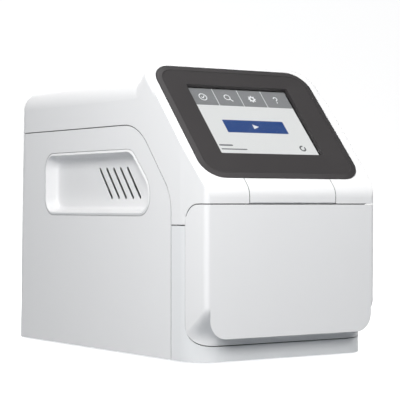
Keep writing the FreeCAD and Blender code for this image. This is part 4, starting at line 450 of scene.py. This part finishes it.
MARK_V = 32.0
tab_lines = [bar_outline(u, BAR_BOTTOM, u, VIEW_V, 0.6) for u in (-28.7, 0.0, 28.0)]
tab_lines.append(bar_outline(-VIEW_U, BAR_BOTTOM, VIEW_U, BAR_BOTTOM, 0.6))
tick = [arc_outline(-43.4, MARK_V, 4.1, 1.0, 0, 359.9),
        bar_outline(-45.4, MARK_V + 0.1, -43.9, MARK_V - 1.6, 1.0),
        bar_outline(-44.0, MARK_V - 1.7, -41.2, MARK_V + 1.9, 1.0)]
magnifier = [arc_outline(-15.2, MARK_V + 0.9, 3.2, 1.0, 0, 359.9),
             bar_outline(-12.8, MARK_V - 1.4, -10.2, MARK_V - 4.2, 1.3)]
help_mark = [arc_outline(42.4, MARK_V + 1.7, 2.0, 1.1, -40, 180),
             bar_outline(43.6, MARK_V + 0.5, 42.5, MARK_V - 1.4, 1.1),
             disc_outline(42.4, MARK_V - 3.5, 0.75)]
arrowhead = [np.array([[-2.8, -8.6], [3.8, -5.6], [-2.8, -2.6]])]
lit_piece("tab_marks", tab_lines + tick + magnifier + help_mark, 2, display_white)
lit_piece("cog_mark", [cog_outline(13.6, MARK_V, 3.3, 4.5)], 2, display_white)
lit_piece("cog_hub", [disc_outline(13.6, MARK_V, 1.6)], 3, display_bar)
lit_piece("start_arrow", arrowhead, 2, display_white)
text_bars = [rounded_box(-53.4, -31.4, -38.0, -29.6, 0.8), rounded_box(-53.0, -36.1, -24.0, -34.8, 0.6)]
turn_mark = [arc_outline(42.4, -32.5, 2.9, 1.6, 70, 395)]
lit_piece("ink_marks", text_bars + turn_mark, 1, display_ink)
print("marks drawn", len(tab_lines + tick + magnifier + help_mark) + 4)

# %% [markdown]
# The touch glass is clear and polished. It lets the lit picture through by refraction. Its coating keeps
# the mirror of the lamps faint, which is done here with a low index of refraction. A very soft unevenness
# in its gloss keeps it from looking like a perfect plane.

# %% Touch glass
def clear_glass(name):
    """Clear glass with slightly uneven polish."""
    material, shader = new_material(name)
    place = add_node(material, "ShaderNodeTexCoord")
    cloud = add_node(material, "ShaderNodeTexNoise", Scale=30.0, Detail=2.0)
    wire(material, place.outputs["Object"], cloud.inputs["Vector"])
    vary_gloss(material, shader, cloud.outputs["Fac"], 0.02, 0.05)
    shader.inputs["Base Color"].default_value = (0.97, 0.98, 0.98, 1.0)
    shader.inputs["Transmission Weight"].default_value = 1.0
    shader.inputs["IOR"].default_value = 1.12
    return material


finish_nodes(clear_glass("screen_glass"), "cover_glass")
print("glass on", nodes["cover_glass"].name)

# %% [markdown]
# On the real cover the raised screen housing grows out of the rear deck in one soft hollow. A ball that
# rolls along the inner corner leaves exactly such a hollow, so the surface comes from a rolling ball: a
# plumb line gives the height of the cover at each place, and the ball fills each row where it can't reach.
# Towards the sides, where the deck's edge turns down, the fill fades away along a smooth step.

# %% Heights of the cover, and the ball's path over them
def plumb_heights(node, x, y, start):
    """Height of a CAD node's upper surface at each (x, y), found straight down from above it, or 0."""
    mesh = node.data
    surface = BVHTree.FromPolygons([v.co.copy() for v in mesh.vertices],
                                   [tuple(p.vertices) for p in mesh.polygons])
    down = Vector((0.0, 0.0, -1.0))
    found = [[surface.ray_cast(Vector((u, v, start)), down)[0] for v in y] for u in x]
    return np.array([[place.z if place else 0.0 for place in row] for row in found])


def rolled_hollow(heights, step, radius, steepest=50.0):
    """Heights after a ball has rolled along each row: raised by its upper arc, then lowered by that arc."""
    reach = int(radius * math.sin(math.radians(steepest)) / step)
    along = np.arange(-reach, reach + 1) * step
    arc = np.sqrt(radius**2 - along**2) - radius
    count = heights.shape[1]

    def over_arc(rows, sign, choose):
        wide = np.pad(rows, ((0, 0), (reach, reach)), mode="edge")
        return choose([wide[:, i:i + count] + sign * arc[i] for i in range(len(arc))], axis=0)

    return over_arc(over_arc(heights, 1.0, np.max), -1.0, np.min)


STEP = 0.00075
across = 0.0990 * np.sin(np.linspace(-math.pi / 2, math.pi / 2, 91))
along = np.arange(-0.100, -0.015, STEP)
cover_heights = plumb_heights(nodes["top_cover"], across, along, 0.4)
fade = np.clip((0.0975 - np.abs(across)) / 0.014, 0.0, 1.0)[:, None]
fade = fade * fade * (3.0 - 2.0 * fade)
hollow = cover_heights + fade * (rolled_hollow(cover_heights, STEP, 0.027) - cover_heights)
kept = (along > -0.0715) & (along < -0.0425)
print("deepest fill", round(1000 * float((hollow - cover_heights)[:, kept].max()), 2), "mm")

# %% [markdown]
# Only the strip around the corner is kept. It lies a tenth of a millimetre under the ball's surface, so
# its long edges dive below the cover at a very flat angle and no border shows. A second layer below it
# and a band around the rim close the body.

# %% The hollow between the deck and the screen housing
def closed_sheet(top, thickness):
    """Points and quads of a grid of surface points, with the same grid lower down and a closed rim."""
    rows, columns = top.shape[:2]
    points = np.concatenate([top.reshape(-1, 3), (top - [0.0, 0.0, thickness]).reshape(-1, 3)])
    index = np.arange(rows * columns).reshape(rows, columns)
    quads = np.stack([index[:-1, :-1], index[1:, :-1], index[1:, 1:], index[:-1, 1:]], axis=-1).reshape(-1, 4)
    rim = np.concatenate([index[:, 0], index[-1, 1:], index[-2::-1, -1], index[0, -2:0:-1]])
    after = np.roll(rim, -1)
    below = rows * columns
    band = np.stack([rim, rim + below, after + below, after], axis=1)
    return points, quads.tolist() + (quads[:, ::-1] + below).tolist() + band.tolist()


SUNK = 0.0001
strip = np.stack([*np.meshgrid(across, along[kept], indexing="ij"), hollow[:, kept] - SUNK], axis=-1)
points, faces = closed_sheet(strip, 0.0012)
# The same plastic without the painted seam shade, since this piece lies flush on the cover.
shell_seamless = moulded_plastic("shell_seamless", SHELL_COLOUR, 0.46, seam_shade_reach=0.0)
pod_hollow = closed_piece("pod_hollow", points, faces, shell_seamless)
pod_hollow.data.shade_smooth()
print("hollow", len(faces), "faces")

# %% [markdown]
# The feet are soft black rubber. Rubber scatters light nearly evenly and has a dusty, pitted skin, so it
# is rough, with a coarser bump than the plastic and pale dust where the cloud is high.

# %% Rubber feet
def soft_rubber(name, colour, pit_size):
    """Dark rubber: nearly no gloss, with pits of a given size in metres."""
    material, shader = new_material(name)
    place = add_node(material, "ShaderNodeTexCoord")
    cloud = soft_tone(material, shader, place, colour, 40.0, 0.35)
    vary_gloss(material, shader, cloud, 0.62, 0.85)
    pits = add_node(material, "ShaderNodeTexNoise", Scale=1.0 / pit_size, Detail=4.0)
    wire(material, place.outputs["Object"], pits.inputs["Vector"])
    bump_over_edges(material, shader, pits.outputs["Fac"], 0.35, 0.0002, 0.0006)
    shader.inputs["Specular IOR Level"].default_value = 0.3
    return material


finish_nodes(soft_rubber("rubber_black", (0.022, 0.022, 0.024), 0.0009), "rubber_feet")

# %% [markdown]
# Inside, the brackets and plates are zinc coated sheet. Zinc freezes in flat crystals, and each crystal
# catches the light in its own way. A Voronoi pattern gives every cell one random value, and that value
# drives both the tone and the roughness.

# %% Zinc coated sheet
def zinc_sheet(name, colour, crystal_size):
    """Sheet metal whose crystals each have their own tone and gloss."""
    material, shader = new_material(name)
    place = add_node(material, "ShaderNodeTexCoord")
    crystals = add_node(material, "ShaderNodeTexVoronoi", Scale=1.0 / crystal_size)
    wire(material, place.outputs["Object"], crystals.inputs["Vector"])
    value = add_node(material, "ShaderNodeSeparateColor")
    wire(material, crystals.outputs["Color"], value.inputs["Color"])
    tone = add_node(material, "ShaderNodeMix", data_type="RGBA")
    tone.inputs[6].default_value = (*[c * 0.86 for c in colour], 1.0)
    tone.inputs[7].default_value = (*[min(1.0, c * 1.08) for c in colour], 1.0)
    wire(material, value.outputs["Red"], tone.inputs["Factor"])
    wire(material, tone.outputs[2], shader.inputs["Base Color"])
    vary_gloss(material, shader, value.outputs["Green"], 0.28, 0.46)
    scuffs = add_node(material, "ShaderNodeTexNoise", Scale=900.0, Detail=3.0)
    wire(material, place.outputs["Object"], scuffs.inputs["Vector"])
    bump_over_edges(material, shader, scuffs.outputs["Fac"], 0.06, 0.0001, 0.0003)
    shader.inputs["Metallic"].default_value = 1.0
    return material


finish_nodes(
    zinc_sheet("sheet_steel", (0.60, 0.61, 0.62), 0.006),
    "chassis_plate", "guide_left", "guide_right", "guide_bracket_left", "guide_bracket_right",
    "motor_bracket", "lcd_bracket", "board_plate", "power_supply",
)

# %% [markdown]
# Rails, pins, screws and motor cans are drawn, turned or brushed. All of these leave fine lines in one
# direction. A noise pattern squeezed across the lines and stretched along them looks like brushing.

# %% Brushed and turned metal
def brushed_metal(name, colour, low, high, stretch, edge=0.0002):
    """Metal with fine lines: the noise is stretched by one factor for each axis."""
    material, shader = new_material(name)
    place = add_node(material, "ShaderNodeTexCoord")
    squeeze = add_node(material, "ShaderNodeMapping")
    squeeze.inputs["Scale"].default_value = stretch
    wire(material, place.outputs["Object"], squeeze.inputs["Vector"])
    lines = add_node(material, "ShaderNodeTexNoise", Scale=1.0, Detail=5.0)
    wire(material, squeeze.outputs["Vector"], lines.inputs["Vector"])
    tone = add_node(material, "ShaderNodeMix", data_type="RGBA")
    tone.inputs[6].default_value = (*[c * 0.88 for c in colour], 1.0)
    tone.inputs[7].default_value = (*colour, 1.0)
    wire(material, lines.outputs["Fac"], tone.inputs["Factor"])
    wire(material, tone.outputs[2], shader.inputs["Base Color"])
    vary_gloss(material, shader, lines.outputs["Fac"], low, high)
    bump_over_edges(material, shader, lines.outputs["Fac"], 0.08, 0.0001, edge)
    shader.inputs["Metallic"].default_value = 1.0
    return material


rail_steel = brushed_metal("rail_steel", (0.66, 0.66, 0.67), 0.18, 0.34, (4000.0, 60.0, 4000.0))
screw_steel = brushed_metal("screw_steel", (0.40, 0.40, 0.41), 0.30, 0.44, (1800.0, 1800.0, 900.0))
motor_metal = brushed_metal("motor_metal", (0.38, 0.38, 0.40), 0.30, 0.48, (900.0, 900.0, 6000.0))
contact_brass = brushed_metal("contact_brass", (0.80, 0.60, 0.30), 0.18, 0.32, (2500.0, 2500.0, 2500.0))
finish_nodes(rail_steel, "drawer_rail_left", "drawer_rail_right", "flap_hinge_pins", "front_usb_sockets",
             "rocker_pin", "rear_usb_socket")
finish_nodes(screw_steel, "rear_screws", "fan_screws")
finish_nodes(motor_metal, "drive_motor", "spindle_motor")
finish_nodes(contact_brass, "board_standoffs", "inlet_pins")

# %% [markdown]
# The turntable is turned on a lathe, so its lines are rings. Rings come from the Wave pattern in its
# Rings form about the axis of the plate. The lid and the optics deck are blasted and anodised: an even
# matt grain with a hard skin.

# %% Anodised parts
def anodised(name, colour, roughness, grain_size, grain):
    """Blasted aluminium under a coloured skin: metal with a fine even grain."""
    material, shader = new_material(name)
    place = add_node(material, "ShaderNodeTexCoord")
    cloud = soft_tone(material, shader, place, colour, 30.0, 0.05)
    vary_gloss(material, shader, cloud, roughness - 0.04, roughness + 0.06)
    sand = add_node(material, "ShaderNodeTexNoise", Scale=1.0 / grain_size, Detail=2.0)
    wire(material, place.outputs["Object"], sand.inputs["Vector"])
    bump_over_edges(material, shader, sand.outputs["Fac"], grain, 0.0001, 0.0003)
    shader.inputs["Metallic"].default_value = 0.9
    return material


def turned_plate(name, colour, centre, ring_step):
    """Metal with fine rings about an upright axis that stands at a given centre."""
    material, shader = new_material(name)
    place = add_node(material, "ShaderNodeTexCoord")
    shift = add_node(material, "ShaderNodeMapping")
    shift.inputs["Location"].default_value = (-centre[0], -centre[1], 0.0)
    wire(material, place.outputs["Object"], shift.inputs["Vector"])
    rings = add_node(material, "ShaderNodeTexWave", wave_type="RINGS", rings_direction="Z",
                     Scale=0.314 / ring_step)
    wire(material, shift.outputs["Vector"], rings.inputs["Vector"])
    tone = add_node(material, "ShaderNodeMix", data_type="RGBA")
    tone.inputs[6].default_value = (*[c * 0.82 for c in colour], 1.0)
    tone.inputs[7].default_value = (*colour, 1.0)
    wire(material, rings.outputs["Fac"], tone.inputs["Factor"])
    wire(material, tone.outputs[2], shader.inputs["Base Color"])
    vary_gloss(material, shader, rings.outputs["Fac"], 0.26, 0.38)
    bump_over_edges(material, shader, rings.outputs["Fac"], 0.12, 0.0001, 0.0003)
    shader.inputs["Metallic"].default_value = 1.0
    return material


low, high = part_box("turntable")
disc_centre = [(low[i] + high[i]) / 2 for i in range(2)]
finish_nodes(turned_plate("turntable_metal", (0.55, 0.56, 0.58), disc_centre, 0.0011), "turntable")
finish_nodes(anodised("lid_metal", (0.50, 0.51, 0.53), 0.42, 0.0004, 0.10), "optics_deck", "heated_lid")
finish_nodes(anodised("optics_black", (0.035, 0.035, 0.038), 0.45, 0.0004, 0.10),
             "lamp_housing", "lens_tube", "detector_block")
print("turntable centre", [round(v, 4) for v in disc_centre])

# %% [markdown]
# The tray, the gears, the sockets and the fan are plain engineering plastics, made with the same
# function as the shell. Only colour, gloss, grain size and edge radius change.

# %% Tray, gears, sockets and fan
tray_plastic = moulded_plastic("tray_plastic", (0.36, 0.38, 0.40), 0.42, 0.0007, 0.08)
gear_plastic = moulded_plastic("gear_plastic", (0.78, 0.74, 0.63), 0.34, 0.0009, 0.04, 0.0002, 0.03)
socket_black = moulded_plastic("socket_black", (0.026, 0.026, 0.028), 0.40, 0.0005, 0.10, 0.0002, 0.10)
fan_black = moulded_plastic("fan_black", (0.030, 0.031, 0.034), 0.36, 0.0008, 0.06, 0.0003, 0.10)
chip_black = moulded_plastic("chip_black", (0.020, 0.020, 0.021), 0.52, 0.0003, 0.16, 0.0001, 0.15)
finish_nodes(tray_plastic, "drawer_tray")
finish_nodes(gear_plastic, "drive_rack", "drive_pinion")
finish_nodes(socket_black, "port_ledge", "card_slot", "mains_inlet", "rocker_frame", "power_rocker",
             "network_socket")
finish_nodes(fan_black, "fan_frame", "fan_rotor")
finish_nodes(chip_black, "board_parts")

# %% [markdown]
# The rear panel is steel under powder paint. The powder melts into small round swells, known as orange
# peel, so the bump comes from the smooth side of a Voronoi pattern instead of from sharp noise.

# %% Powder painted rear panel
def powder_paint(name, colour, swell_size):
    """Thick paint whose surface swells in round cells of a given size in metres."""
    material, shader = new_material(name)
    place = add_node(material, "ShaderNodeTexCoord")
    cloud = soft_tone(material, shader, place, colour, 20.0, 0.03)
    vary_gloss(material, shader, cloud, 0.44, 0.56)
    swells = add_node(material, "ShaderNodeTexVoronoi", feature="SMOOTH_F1", Scale=1.0 / swell_size)
    wire(material, place.outputs["Object"], swells.inputs["Vector"])
    bump_over_edges(material, shader, swells.outputs["Distance"], 0.22, 0.0002, 0.0004)
    return material


finish_nodes(powder_paint("rear_paint", (0.58, 0.59, 0.60), 0.0012), "rear_panel")

# %% [markdown]
# A circuit board is glass fibre under green lacquer, with copper tracks that show through as a paler
# green. The tracks run along a grid. A Brick pattern gives the grid: its thin joints are the tracks, and
# a random choice of the bricks becomes the copper areas.

# %% Circuit boards
def circuit_board(name, turn):
    """Green lacquer with paler tracks on a grid, in a plane set by a turn about X and Z."""
    material, shader = new_material(name)
    place = add_node(material, "ShaderNodeTexCoord")
    flat = add_node(material, "ShaderNodeMapping")
    flat.inputs["Rotation"].default_value = turn
    wire(material, place.outputs["Object"], flat.inputs["Vector"])
    grid = add_node(material, "ShaderNodeTexBrick", Scale=1.0, offset=0.5, offset_frequency=2)
    for key, value in {"Brick Width": 0.011, "Row Height": 0.0024, "Mortar Size": 0.0003,
                       "Mortar Smooth": 0.1}.items():
        grid.inputs[key].default_value = value
    grid.inputs["Color1"].default_value = (0.010, 0.090, 0.042, 1.0)
    grid.inputs["Color2"].default_value = (0.016, 0.125, 0.058, 1.0)
    grid.inputs["Mortar"].default_value = (0.050, 0.250, 0.115, 1.0)
    wire(material, flat.outputs["Vector"], grid.inputs["Vector"])
    wire(material, grid.outputs["Color"], shader.inputs["Base Color"])
    vary_gloss(material, shader, grid.outputs["Fac"], 0.24, 0.32)
    bump_over_edges(material, shader, grid.outputs["Fac"], 0.3, 0.00005, 0.0001)
    shader.inputs["Coat Weight"].default_value = 0.3
    shader.inputs["Coat Roughness"].default_value = 0.15
    return material


finish_nodes(circuit_board("board_green_flat", (0.0, 0.0, 0.0)), "io_board", "port_board")
finish_nodes(circuit_board("board_green_upright", (0.0, math.pi / 2, 0.0)), "main_board")
finish_nodes(circuit_board("board_green_display", (-screen_tilt, 0.0, 0.0)), "display_board")
bare = [o.name for o in nodes.values() if not o.data.materials]
print("nodes without a material", bare)
